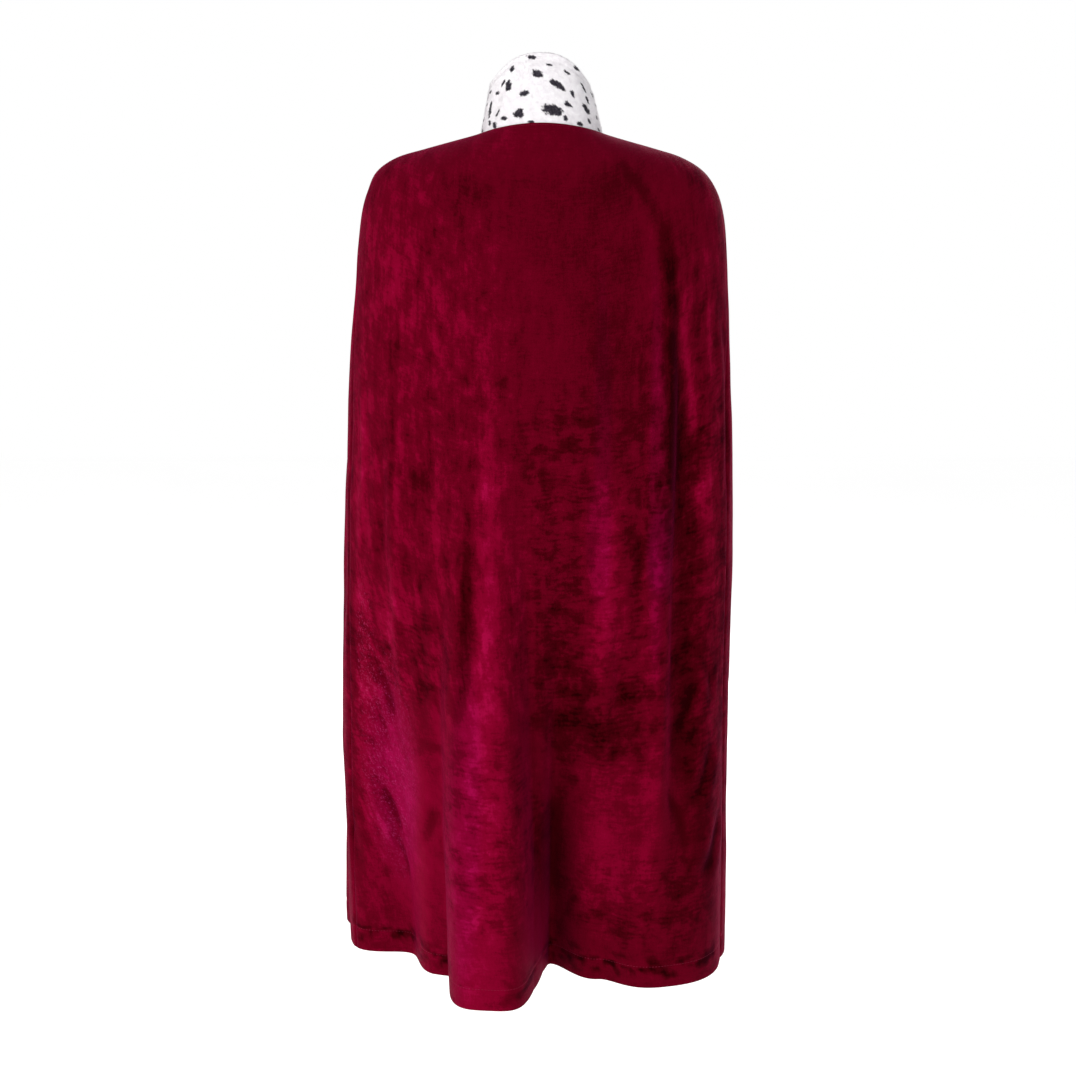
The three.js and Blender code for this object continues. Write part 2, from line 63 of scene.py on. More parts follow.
# The mantle's form. sides and middles are rings: how far down, then the half widths and the height at
# the sides, and the depth and height at the middle of the back and of the front.
mantle = {
    "thick": 1.6,
    "hemThick": 3.2,
    "hemDeep": 30.0,
    "edgeHemWide": 16.0,
    "hemStep": 2.5,
    "seamGap": 0.3,
    "long": 1128.0,
    # down, left, right, sideZ, leftY, rightY
    "sides": [
        (0.0, 79, 81, -12, 0, 0),
        (0.03, 114, 113, -21, 0, 0),
        (0.06, 151, 149, -31, 0, 0),
        (0.09, 188, 183, -42, 0, 0),
        (0.12, 214, 212, -60, 0, 0),
        (0.145, 226, 229, -84, 0, 0),
        (0.17, 234, 238, -113, -1, 0),
        (0.2, 239, 242, -150, -2, 1),
        (0.25, 245, 246, -212, -4, 1),
        (0.33, 254, 251, -310, -6, 2),
        (0.42, 260, 254, -420, -10, 3),
        (0.55, 268, 257, -578, -15, 4),
        (0.7, 273, 256, -762, -21, 5),
        (0.85, 274, 257, -945, -28, 6),
        (1.0, 271, 258, -1128, -34, 6),
    ],
    # down, backY, backZ, frontY, frontZ, square
    "middles": [
        (0.0, 68, 0, -62, -48, 2.0),
        (0.03, 84, -31, -78, -78, 2.05),
        (0.06, 97, -64, -92, -108, 2.1),
        (0.09, 107, -98, -104, -138, 2.15),
        (0.12, 115, -132, -113, -170, 2.2),
        (0.145, 120, -160, -119, -197, 2.25),
        (0.17, 124, -189, -124, -225, 2.3),
        (0.2, 127, -223, -128, -258, 2.35),
        (0.25, 129, -281, -131, -313, 2.4),
        (0.33, 130, -372, -132, -400, 2.5),
        (0.42, 130, -475, -131, -498, 2.5),
        (0.55, 129, -624, -129, -640, 2.5),
        (0.7, 127, -795, -126, -803, 2.5),
        (0.85, 126, -962, -123, -966, 2.5),
        (1.0, 125, -1128, -121, -1128, 2.5),
    ],
    # The folds: around (the crest's place on the hem), near, far, out, spread, blunt, then the shares of
    # the way down at which it starts, is full, begins to go and is gone, and how far it leans
    "folds": [
        (60, 58, 65, 96, 9, 1.8, 0.3, 1.0, 1, 2, -30),
        (-12, 28, 64, -52, -5, 1.0, 0.4, 1.0, 1, 2, 25),
        (216, 70, 88, -46, 0, 1.0, 0.4, 1.0, 1, 2, 0),
        (-162, 84, 112, 37, 6, 1.4, 0.5, 1.0, 1, 2, 0),
        (-143, 26, 20, 10, 2, 1.0, 0.15, 0.35, 0.7, 0.92, 19),
        (-172, 27, 44, -11, 0, 1.0, 0.2, 0.42, 0.7, 0.95, 19),
        (-76, 26, 26, 8, 0, 1.0, 0.44, 0.6, 0.64, 0.82, 0),
        (190, 20, 18, 6, 0, 1.0, 0.3, 0.5, 0.62, 0.76, -10),
        (136, 20, 18, 6, 0, 1.0, 0.4, 0.56, 0.62, 0.78, -6),
        (424, 56, 50, 34, 5, 1.4, 0.34, 1.0, 1, 2, -14),
        (496, 40, 34, -22, -3, 1.0, 0.42, 1.0, 1, 2, 0),
        (552, 34, 60, 20, 3, 1.2, 0.25, 0.9, 1, 2, 12),
        (-424, 62, 54, 32, 6, 1.5, 0.28, 1.0, 1, 2, 18),
        (-510, 48, 40, -30, -3, 1.0, 0.46, 1.0, 1, 2, -8),
    ],
    # down, the side seam's angle round from the middle of the back, the gap from the middle front
    "seamLine": [
        (0.0, 93, 7),
        (0.1, 91, 12),
        (0.2, 82, 20),
        (0.35, 74, 32),
        (0.6, 72, 50),
        (1.0, 72, 72),
    ],
    "ringSteps": 720,
    "reach": 0.006,
}


def smooth(value):
    value = np.clip(value, 0, 1)
    return value * value * (3 - 2 * value)


def ridge(distance, wide):
    # 1 on a line, fading to 0 on both sides of it
    return np.exp(-((distance / wide) ** 2))


def unit(vectors):
    return vectors / np.maximum(np.linalg.norm(vectors, axis=-1, keepdims=True), 1e-12)


def runAlong(points):
    # how far each point is from the first, along the line through them
    run = np.cumsum(np.linalg.norm(np.diff(points, axis=-2), axis=-1), axis=-1)
    return np.concatenate([np.zeros_like(run[..., :1]), run], axis=-1)


def readTable(rows, at):
    # every column of a table as a smooth curve through its rows
    table = np.array(rows, float)
    where, values = table[:, 0], table[:, 1:]
    slope = np.empty_like(values)
    slope[1:-1] = (values[2:] - values[:-2]) / (where[2:] - where[:-2])[:, None]
    slope[0] = (values[1] - values[0]) / (where[1] - where[0])
    slope[-1] = (values[-1] - values[-2]) / (where[-1] - where[-2])
    i = np.clip(np.searchsorted(where, at, side="right") - 1, 0, len(where) - 2)
    span = (where[i + 1] - where[i])[:, None]
    t = np.clip((at - where[i])[:, None] / span, 0, 1)
    return (
        (2 * t**3 - 3 * t**2 + 1) * values[i]
        + (t**3 - 2 * t**2 + t) * span * slope[i]
        + (3 * t**2 - 2 * t**3) * values[i + 1]
        + (t**3 - t**2) * span * slope[i + 1]
    )


def roundLevel(half, widest, backY, frontY, sideZ, backZ, frontZ, square, side, angle):
    # a plain ring, from the middle of the back round one side to the middle of the front
    s, c = np.maximum(np.sin(angle), 0), np.cos(angle)
    power = 2 / square
    x = side * half * s**power
    y = np.where(c >= 0, backY, frontY) * np.abs(c) ** power + widest * s * s
    z = sideZ + (np.where(c >= 0, backZ, frontZ) - sideZ) * c * c
    return np.stack(np.broadcast_arrays(x, y, z), -1)


ringStore = {}


def ringTable(down, side):
    key = (down.tobytes(), side)
    if key not in ringStore:
        left, right, sideZ, leftY, rightY = readTable(mantle["sides"], down)[:, :, None].swapaxes(0, 1)
        backY, backZ, frontY, frontZ, square = readTable(mantle["middles"], down)[:, :, None].swapaxes(0, 1)
        half, widest = (left, leftY) if side > 0 else (right, rightY)
        angle = np.linspace(0, math.pi, mantle["ringSteps"] + 1)[None]
        ring = roundLevel(half, widest, backY, frontY, sideZ, backZ, frontZ, square, side, angle)
        ringStore[key] = ring, runAlong(ring)
    return ringStore[key]


def girthAt(down, side):
    return ringTable(np.atleast_1d(np.array(down, float)), side)[1][:, -1]


hemGirth = {side: float(girthAt(1.0, side)[0]) for side in (1, -1)}


def girthOf(place):
    return np.where(place < 0, hemGirth[-1], hemGirth[1])


def plainPoints(place, down):
    # place runs from 0 at the middle of the back to 1 at the middle front round the left side as worn,
    # and to -1 round the right
    points = np.empty(place.shape + (3,))
    for side in (1, -1):
        ring, lengths = ringTable(down, side)
        for row in range(len(down)):
            mine = place[row] >= 0 if side > 0 else place[row] < 0
            if mine.any():
                target = np.minimum(np.abs(place[row][mine]), 1) * lengths[row, -1]
                for axis in range(3):
                    points[row, mine, axis] = np.interp(target, lengths[row], ring[row, :, axis])
    return points


def foldsAt(around, down):
    out, along = np.zeros_like(around), np.zeros_like(around)
    for crest, near, far, high, spread, blunt, start, full, hold, gone, lean in mantle["folds"]:
        grown = smooth((down - start) / (full - start)) * smooth((gone - down) / (gone - hold))
        offset = around - crest - lean * (down - 1)
        q = np.clip(offset / np.where(offset * np.sign(crest) > 0, far, near), -1, 1)
        out += high * grown * 0.5 * (1 + np.cos(math.pi * np.abs(q) ** blunt))
        along += spread * grown * np.sin(math.pi * q)
    return out, along


def clothPoints(place, down):
    girth = girthOf(place)
    out, along = foldsAt(place * girth, down[:, None])
    moved = place + along / girth
    reach = mantle["reach"]
    chord = plainPoints(moved + reach, down) - plainPoints(moved - reach, down)
    outward = unit(np.stack([-chord[..., 1], chord[..., 0], np.zeros(place.shape)], -1))
    return plainPoints(moved, down) + outward * out[..., None]


def clothNormals(place, down):
    reach = mantle["reach"]
    across = clothPoints(place + reach, down) - clothPoints(place - reach, down)
    lower = clothPoints(place, np.minimum(1, down + reach))
    upper = clothPoints(place, np.maximum(0, down - reach))
    return unit(np.cross(across, lower - upper))


# Creases and marks on the cloth. around is from the middle of the back towards the left as worn, on
# the hem's length, and drop is down from the nape, both in millimetres.
drape = {
    # from around and drop, to around and drop, half width, height (below 0 is a trough), tone: painted shade
    # in a trough and painted light on a raised crease
    "creases": [
        (249, 880, 219, 968, 9, -4.2, -1.1),
        (262, 905, 236, 990, 8, 2.0, 0.3),
        (241, 716, 212, 800, 8, -3.6, -1.0),
        (252, 772, 226, 838, 6, -2.2, -0.7),
        (232, 948, 204, 1024, 7, -2.4, -0.8),
        (136, 880, 164, 948, 10, -3.2, -0.7),
        (214, 640, 176, 668, 7, -1.8, -0.35),
        (148, 806, 190, 828, 6, -1.5, -0.4),
        (90, 540, 104, 790, 9, -3.4, -0.75),
        (-230, 812, -190, 900, 9, -3.8, -0.9),
        (-246, 908, -196, 1000, 10, -4.0, -0.9),
        (-206, 724, -172, 800, 8, -2.8, -0.7),
        (-158, 856, -186, 960, 7, -2.2, -0.5),
        (-210, 700, -232, 770, 7, -2.0, -0.4),
        (-120, 500, -112, 640, 8, -2.2, -0.45),
        (-100, 668, -98, 760, 7, -1.8, -0.4),
        (-136, 640, -140, 900, 5, 1.4, 0.3),
        (24, 560, 8, 820, 10, -2.0, -0.25),
        (150, 300, 156, 520, 9, -1.5, -0.25),
        (226, 380, 232, 640, 7, -1.6, -0.3),
        (-248, 260, -254, 560, 7, -1.8, -0.2),
        (262, 330, 270, 640, 6, 1.4, 0.25),
        (330, 420, 318, 760, 12, -3.0, -0.5),
        (372, 250, 364, 520, 9, 2.0, 0.35),
        (352, 820, 330, 940, 9, -2.6, -0.5),
        (470, 330, 452, 560, 9, -2.4, -0.5),
        (560, 400, 540, 600, 8, -2.0, -0.4),
        (300, 930, 284, 1040, 8, -2.4, -0.5),
        (-322, 380, -312, 700, 12, -3.2, -0.5),
        (-366, 300, -356, 560, 9, 2.0, 0.35),
        (-350, 860, -326, 980, 9, -2.6, -0.5),
        (-476, 320, -462, 590, 9, -2.4, -0.5),
        (-568, 420, -552, 640, 8, -2.0, -0.4),
        (-300, 760, -282, 850, 7, -2.2, -0.5),
        (430, 120, 520, 214, 10, -2.2, -0.4),
        (-440, 126, -528, 220, 10, -2.4, -0.4),
    ],
    # a crease bows to one side and fades at its ends, and the cloth beside it stands up in a lip; its painted
    # shade runs narrower than the crease
    "creaseForm": {"bow": 0.05, "ends": 3.2, "lip": 0.35, "lipAt": 1.9, "toneWide": 0.8},
    # around, drop, half width, half height, lean in degrees, tone: how the nap lies, with painted shade in
    # the fold valleys and painted light on the ridges
    "napAndPaintedShade": [
        (67, 540, 15, 300, 0, 0.6),
        (74, 860, 22, 220, 0, 0.5),
        (70, 1010, 30, 180, 0, 0.45),
        (-40, 240, 190, 190, 0, -0.42),
        (-110, 760, 60, 110, 0, -0.34),
        (-130, 1000, 80, 110, 0, -0.5),
        (-160, 460, 12, 300, 0, -0.5),
        (176, 300, 60, 190, 0, -0.1),
        (-12, 820, 26, 110, 0, 0.4),
        (-112, 420, 60, 160, 0, -0.3),
        (-20, 840, 30, 330, 2, -0.58),
        (-14, 950, 18, 60, 0, -0.6),
        (-146, 410, 9, 310, 0, 0.3),
        (-150, 545, 13, 60, 0, 0.2),
        (-140, 820, 10, 260, 0, 0.4),
        (-167, 300, 11, 170, 0, -0.9),
        (-177, 468, 18, 80, 0, -1.0),
        (-190, 760, 19, 220, 3, -0.85),
        (-80, 586, 20, 126, 0, 1.1),
        (-86, 900, 40, 110, 0, 0.5),
        (-110, 1010, 50, 70, 0, 0.4),
        (189, 440, 5, 190, 0, 0.45),
        (134, 560, 8, 210, 0, 0.5),
        (91, 590, 8, 105, 0, -0.85),
        (218, 860, 50, 150, 4, 0.75),
        (160, 930, 60, 150, 0, 0.5),
        (236, 330, 14, 300, 0, 0.15),
        (248, 480, 5, 260, 0, 0.3),
        (-227, 290, 5, 90, 0, 0.6),
        (-214, 490, 15, 30, 10, 0.7),
        (-210, 350, 9, 110, 0, -0.4),
        (-224, 900, 26, 190, 0, -0.35),
        (130, 260, 70, 120, 0, 0.22),
        (225, 200, 40, 90, 0, 0.25),
        (110, 90, 80, 26, -8, -0.3),
        (-130, 96, 90, 26, 8, -0.35),
        (262, 760, 8, 330, 0, 0.4),
        (-252, 560, 12, 420, 0, -0.4),
        (-276, 640, 16, 420, 0, -0.3),
        (284, 620, 14, 420, 0, -0.3),
        (246, 440, 14, 46, 0, 0.1),
        (196, 440, 4, 50, 0, -0.5),
        (158, 464, 24, 14, 0, -0.4),
        (176, 578, 46, 34, 0, -0.28),
        (202, 646, 44, 34, 0, 0.75),
        (206, 250, 16, 60, -8, 0.3),
        (176, 470, 14, 70, 4, 0.12),
        (196, 330, 12, 90, 0, -0.4),
        (152, 700, 16, 120, 2, -0.35),
        (228, 600, 12, 80, 0, -0.35),
        (-185, 290, 7, 46, 4, 1.15),
        (-191, 345, 6, 30, -4, 1.15),
        (-198, 396, 7, 26, 0, 1.2),
        (-160, 640, 7, 200, 0, 0.3),
        (-226, 560, 12, 60, -4, 0.5),
        (-206, 640, 14, 50, 0, 0.35),
        (-178, 900, 16, 70, 0, 0.3),
        (-66, 782, 66, 30, -4, -0.6),
        (-96, 724, 60, 16, 5, -0.4),
        (10, 760, 50, 14, 0, -0.3),
        (136, 806, 30, 7, 0, -0.5),
        (-10, 905, 16, 26, 0, -0.5),
        (310, 560, 14, 330, 0, 0.5),
        (345, 700, 22, 300, 0, -0.45),
        (402, 700, 18, 360, 0, 0.6),
        (470, 820, 22, 260, 0, -0.5),
        (536, 640, 16, 380, 0, 0.5),
        (590, 700, 18, 300, 0, -0.3),
        (-310, 600, 16, 330, 0, 0.4),
        (-352, 720, 22, 300, 0, -0.6),
        (-408, 680, 18, 360, 0, 0.55),
        (-490, 860, 26, 230, 0, -0.6),
        (-545, 600, 16, 360, 0, 0.5),
        (-600, 760, 16, 300, 0, -0.3),
    ],
    # around, drop, half width, half height: where the pile is pressed in fine level lines
    "press": [
        (-90, 640, 110, 240),
        (-130, 1010, 90, 60),
        (-226, 660, 44, 330),
        (-30, 480, 60, 130),
        (190, 690, 80, 60),
        (60, 900, 60, 130),
        (-380, 820, 120, 260),
        (400, 800, 120, 260),
    ],
    # where it is broken into upright smears
    "smear": [
        (160, 380, 130, 300),
        (-190, 380, 70, 190),
        (120, 640, 120, 120),
        (268, 560, 44, 520),
        (-268, 560, 44, 520),
        (-360, 380, 120, 280),
        (380, 380, 130, 300),
        (560, 600, 80, 300),
        (-570, 600, 80, 300),
    ],
    # where painted violet sheen lies along a ridge, and how strongly
    "paintedSheen": [
        (-146, 460, 10, 230, 0.12),
        (-150, 552, 15, 60, 0.24),
        (-72, 520, 15, 80, 0.09),
        (-76, 400, 10, 190, 0.09),
        (88, 900, 18, 210, 0.09),
        (214, 880, 46, 130, 0.09),
        (430, 600, 20, 260, 0.09),
        (-430, 560, 18, 240, 0.09),
    ],
    # where painted glints stand for light caught by single flattened hairs
    "paintedGlint": [
        (222, 850, 48, 150),
        (255, 740, 16, 120),
        (404, 820, 24, 110),
        (-420, 780, 20, 110),
    ],
    "markFade": (1.25, 0.7),  # how full a mark is in its middle, and how fast it goes
    # how fast a nap mark fades, with its painted shade and light
    "napAndShadeFade": 0.9,
    "noiseGain": 1.6,  # brings Blender's noise out to about -1 and 1
}


def softPatch(around, drop, marks):
    # full inside each mark and gone a little past its edge; a fifth value in a row weakens its mark
    full, fall = drape["markFade"]
    cover = np.zeros_like(around)
    for x, y, wide, tall, *share in marks:
        q = ((around - x) / wide) ** 2 + ((drop - y) / tall) ** 2
        cover = np.maximum(cover, smooth(full - fall * q) * (share[0] if share else 1))
    return cover


def napAndPaintedShadeTone(around, drop):
    # how the nap lies by listed patches, with painted shade in the fold valleys and painted light on the
    # ridges: above 0 it lies towards the light
    tone, fade = np.zeros_like(around), drape["napAndShadeFade"]
    for x, y, wide, tall, lean, strength in drape["napAndPaintedShade"]:
        side = around - x - (drop - y) * math.tan(math.radians(lean))
        q = (np.abs(side) / wide) ** 2
        r = (np.abs(drop - y) / tall) ** 3
        tone += strength * np.exp(-fade * q - fade * r)
    return tone


def alongLine(x, y, line):
    # the share of a line that is passed, the distance to its side, and its length
    x0, y0, x1, y1 = line
    dx, dy = x1 - x0, y1 - y0
    long = math.hypot(dx, dy)
    t = ((x - x0) * dx + (y - y0) * dy) / long**2
    across = ((x - x0) * dy - (y - y0) * dx) / long
    return t, across, long


def creasesAt(around, drop):
    form = drape["creaseForm"]
    lift, tone = np.zeros_like(around), np.zeros_like(around)
    for *line, wide, high, shade in drape["creases"]:
        t, across, long = alongLine(around, drop, line)
        across = across + form["bow"] * long * np.sin(math.pi * np.clip(t, 0, 1))
        grown = smooth(np.minimum(t, 1 - t) * form["ends"])
        lip = form["lip"] * ridge(np.abs(across) - form["lipAt"] * wide, wide)
        lift += high * grown * (ridge(across, wide) - lip)
        # painted shade darkens a trough and painted light lightens a raised crease
        tone += shade * grown * ridge(across, form["toneWide"] * wide)
    return lift, tone


def noiseField(around, drop, wide, tall, seed):
    # a smooth wandering value from -1 to 1, a cell of it wide by tall
    flat = zip((around / wide).ravel(), (drop / tall).ravel())
    values = [noise.noise(Vector((x, y, seed))) for x, y in flat]
    return np.array(values).reshape(around.shape) * drape["noiseGain"]


def edgePinch(distance, thick):
    # 1 at a cut edge and 0 half a thickness in, along a round nose
    r = 0.5 * thick
    return 1 - np.sqrt(np.clip(1 - (1 - np.clip(distance / r, 0, 1)) ** 2, 0, 1))


def newPiece(name, points, faces):
    # a smooth mesh in the scene, from points in metres
    mesh = bpy.data.meshes.new(name)
    mesh.from_pydata(points.tolist(), [], faces)
    mesh.polygons.foreach_set("use_smooth", np.ones(len(mesh.polygons), bool))
    mesh.validate()
    piece = bpy.data.objects.new(name, mesh)
    bpy.context.collection.objects.link(piece)
    return piece


def addMasks(mesh, masks):
    for name, values in masks.items():
        mask = mesh.attributes.new(name, "FLOAT", "POINT")
        mask.data.foreach_set("value", values.ravel().astype(np.float32))


edgeNose = (0.5, 0.42)  # how far a wall's two faces round in at a cut edge, as shares of its thickness


def makeWall(name, outer, normal, thick, uv, edge, inside, masks):
    # A closed wall of cloth from a grid: rows run down, columns run to the right as worn. edge is the
    # distance to the nearest cut edge. The inner face takes the second material where inside says so.
    count = thick.size
    pinch = edgePinch(edge, thick)
    faceIn, liningIn = edgeNose
    face = outer - normal * (thick * faceIn * pinch)[..., None]
    lining = outer - normal * (thick * (1 - liningIn * pinch))[..., None]
    at = np.arange(count).reshape(thick.shape)
    a, b, c, d = at[:-1, :-1], at[1:, :-1], at[1:, 1:], at[:-1, 1:]
    quads = [np.stack([a, b, c, d], -1).reshape(-1, 4), np.stack([a, d, c, b], -1).reshape(-1, 4) + count]
    for line, order in ((at[0], (0, 1, 2, 3)), (at[-1], (0, 3, 2, 1)), (at[:, 0], (0, 3, 2, 1)),
                        (at[:, -1], (0, 1, 2, 3))):
        corners = [line[:-1], line[1:], line[1:] + count, line[:-1] + count]
        quads.append(np.stack([corners[i] for i in order], -1))
    faces = np.concatenate(quads)
    piece = newPiece(name, np.stack([face, lining]).reshape(-1, 3) * mm, faces.tolist())
    mesh = piece.data
    layer = mesh.uv_layers.new(name="clothUv")
    flatUv = np.tile(uv.reshape(-1, 2) * mm, (2, 1))
    layer.data.foreach_set("uv", flatUv[faces.ravel()].astype(np.float32).ravel())
    addMasks(mesh, {key: mask if mask.ndim == 3 else np.stack([mask, mask]) for key, mask in masks.items()})
    inner = (inside[:-1, :-1] & inside[1:, 1:]).ravel()
    slots = np.zeros(len(faces), np.int32)
    slots[len(inner):2 * len(inner)] = inner
    mesh.polygons.foreach_set("material_index", slots)
    return piece


panel = {
    "backColumns": 186,
    "frontColumns": 92,
    "rowStep": 5.8,
    "edgeSteps": (0, 0.2, 0.5, 0.9, 1.8, 3.2, 5.0, 7.5),  # rows and columns close in on a cut edge
    "turnSteps": (-7, -4.5, -2.5, -1.2, 0, 1.5, 4),  # and on the turn of a hem
    "turnClear": 8.0,
    "footClear": 9.0,
    "backClear": 0.004,
    "frontClear": 0.008,
    "hemColumn": 10.0,
    "keptWide": 26.0,  # the front edge's hem keeps its width all the way up, so these columns do
    "fineSteps": 2400,
    "noEdge": 500.0,  # the back has no front edge near it
    "seamLap": 0.3,  # the sewn edges close on each other
    "seamAllowance": 11.0,
    "allowanceThick": 0.7,
    "allowanceStep": 1.2,
    # how deep and how wide the cloth sinks at a seam and at a stitched line
    "seamDip": (1.3, 3.4),
    "hemGroove": (0.6, 2.6),
    "edgeGroove": (0.7, 2.4),
    "neckGroove": (0.5, 1.4),
    "neckLine": 3.4,
    "pucker": (22.0, 60.0, 5.5),  # its width, height and seed
    "leastPucker": 0.6,
    # height, width, length and seed of the cloth's slow waves, how far down they start and grow full
    "waves": [(1.1, 70, 150, 3.1, 120, 200), (0.35, 16, 44, 8.2, 60, 120)],
    "groundFrom": 1.5,  # the pile turns in this far over a cut edge
    "calmNeck": 30.0,
    "calmHem": 24.0,
    "leastRelief": 0.35,
    # painted shade in the puckers of the turned hem, as dark blots: strength, width, height and seed
    "hemBlots": [(1.0, 19, 9, 1.7), (0.6, 7, 6, 4.7)],
    "blotShare": 0.1,
    "blotLine": 4.0,
    "blotReach": 15.0,
    "blotTone": 1.7,
}


def levels():
    # the shares of the way down: close at the neck edge and at the hem, even between them
    long, clear = mantle["long"], panel["turnClear"]
    turn = long - mantle["hemDeep"]
    edge = np.array(panel["edgeSteps"])
    middle = np.arange(edge[-1], turn - clear, panel["rowStep"])[1:]
    low = np.arange(turn + clear, long - panel["footClear"], panel["rowStep"])
    drop = np.concatenate([edge, middle, turn + np.array(panel["turnSteps"]), low, long - edge])
    return np.unique(np.round(drop, 3)) / long


def seamShare(down, side):
    angle = readTable(mantle["seamLine"], down)[:, 0]
    grid = np.linspace(0, 180, mantle["ringSteps"] + 1)
    return np.array([np.interp(a, grid, run) / run[-1] for a, run in zip(angle, ringTable(down, side)[1])])


def evenPlaces(start, end, count):
    # places that cut the hem into equal lengths of cloth
    fine = np.linspace(start, end, panel["fineSteps"])
    run = runAlong(clothPoints(fine[None], np.array([1.0]))[0])
    return np.interp(np.linspace(0, run[-1], count + 1), run, fine)


def sunkAt(distance, form, pull=1):
    deep, wide = form
    return deep * pull * ridge(distance, wide)


def makePanel(name, place, down, fromSeam, fromEdge):
    long, edgeHem, step = mantle["long"], mantle["edgeHemWide"], mantle["hemStep"]
    turn = long - mantle["hemDeep"]
    around = place * girthOf(place)
    drop = np.broadcast_to(down[:, None] * long, around.shape)
    lift, paintedCreaseShade = creasesAt(around, drop)
    for high, wide, tall, seed, start, run in panel["waves"]:
        lift += high * noiseField(around, drop, wide, tall, seed) * smooth((drop - start) / run)
    least = panel["leastPucker"]
    pucker = least + (1 - least) * noiseField(around, drop, *panel["pucker"])
    lift -= sunkAt(fromSeam, panel["seamDip"])
    lift -= sunkAt(drop - turn, panel["hemGroove"], pucker)
    lift -= sunkAt(fromEdge - edgeHem, panel["edgeGroove"], pucker)
    lift -= sunkAt(drop - panel["neckLine"], panel["neckGroove"])
    calm = smooth(drop / panel["calmNeck"]) * smooth((long - drop) / panel["calmHem"] + 0.5)
    points, normal = clothPoints(place, down), clothNormals(place, down)
    outer = points + normal * (lift * np.maximum(calm, panel["leastRelief"]))[..., None]
    hemmed = np.clip(np.maximum(drop - turn, edgeHem - fromEdge) / step + 1, 0, 1)
    allowance = smooth((panel["seamAllowance"] - fromSeam) / panel["allowanceStep"] + 0.5)
    thick = mantle["thick"] + (mantle["hemThick"] - mantle["thick"]) * hemmed
    thick = thick + panel["allowanceThick"] * allowance * (1 - hemmed)
    edge = np.minimum(np.minimum(drop, long - drop), np.minimum(fromSeam, fromEdge))
    # the cloth's own marks start from the middle of the back
    run = runAlong(points)
    middle = np.array([np.interp(0, -row, along) for row, along in zip(place, run)])
    uv = np.stack([run - middle[:, None], -drop], -1)
    # painted shade: dark blots in the puckers just below the hem's turn
    blots = sum(share * noiseField(around, drop, *cell) for share, *cell in panel["hemBlots"])
    blots = np.clip(blots + panel["blotShare"], 0, 1)
    blots = blots * ridge(drop - turn - panel["blotLine"], panel["blotReach"])
    masks = {kind: softPatch(around, drop, drape[kind]) for kind in ("paintedSheen", "press", "smear", "paintedGlint")}
    # the nap mask also carries painted shade in fold valleys, creases and the hem's puckers, and painted
    # light on ridges
    masks["napAndPaintedShade"] = napAndPaintedShadeTone(around, drop) + paintedCreaseShade - panel["blotTone"] * blots
    inside = (hemmed < 0.5) & (edge > panel["groundFrom"])
    piece = makeWall(name, outer, normal, thick, uv, edge, inside, masks)
    return {"piece": piece, "outer": outer, "normal": normal, "fromEdge": fromEdge, "drop": down * long}


def backPlaces(down):
    girths = {side: girthAt(down, side) for side in (1, -1)}
    seams = {side: seamShare(down, side) + panel["seamLap"] / 2 / girths[side] for side in (1, -1)}
    hem = evenPlaces(seams[1][-1], -seams[-1][-1], panel["backColumns"])
    share = np.where(hem > 0, hem / seams[1][-1], hem / seams[-1][-1])
    near = 1 - np.array(panel["edgeSteps"]) / (seams[1][-1] * hemGirth[1])
    plain = share[np.abs(share) < near[-1] - panel["backClear"]]
    share = np.concatenate([near, plain, -near[::-1]])[None]
    seam, girth = (np.where(share > 0, both[1][:, None], both[-1][:, None]) for both in (seams, girths))
    return share * seam, (1 - np.abs(share)) * seam * girth


def frontPlaces(down, side):
    girth = girthAt(down, side)
    start = seamShare(down, side) - panel["seamLap"] / 2 / girth
    end = 1 - readTable(mantle["seamLine"], down)[:, 1] / girth
    hem = evenPlaces(side * start[-1], side * end[-1], panel["frontColumns"])
    wide = (end[-1] - start[-1]) * girth[-1]
    share = (np.abs(hem) - start[-1]) / (end[-1] - start[-1])
    near = np.array(panel["edgeSteps"]) / wide
    turn = 1 - (mantle["edgeHemWide"] - np.array(panel["turnSteps"][1:])) / wide
    clear, kept = panel["frontClear"], panel["keptWide"]
    plain = share[(share > near[-1] + clear) & (share < turn[0] - clear)]
    share = np.concatenate([near, plain, turn, [1 - panel["hemColumn"] / wide], (1 - near)[::-1]])
    hand = ((1 - share) * wide)[None]
    run = ((end - start) * girth)[:, None]
    fromEdge = np.where(hand <= kept, hand, kept + (hand - kept) * (run - kept) / (wide - kept))
    place = side * (end[:, None] - fromEdge / girth[:, None])
    return [grid[:, ::-side] for grid in (place, run - fromEdge, fromEdge)]


def makePanels():
    down = levels()
    place, fromSeam = backPlaces(down)
    made = [makePanel("velvetBack", place, down, fromSeam, np.full(place.shape, panel["noEdge"]))]
    for side, name in ((1, "velvetFrontLeft"), (-1, "velvetFrontRight")):
        place, fromSeam, fromEdge = frontPlaces(down, side)
        made.append(makePanel(name, place, down, fromSeam, fromEdge))
    return made


panels = makePanels()
back, frontLeft, frontRight = panels
print("velvet panels made")

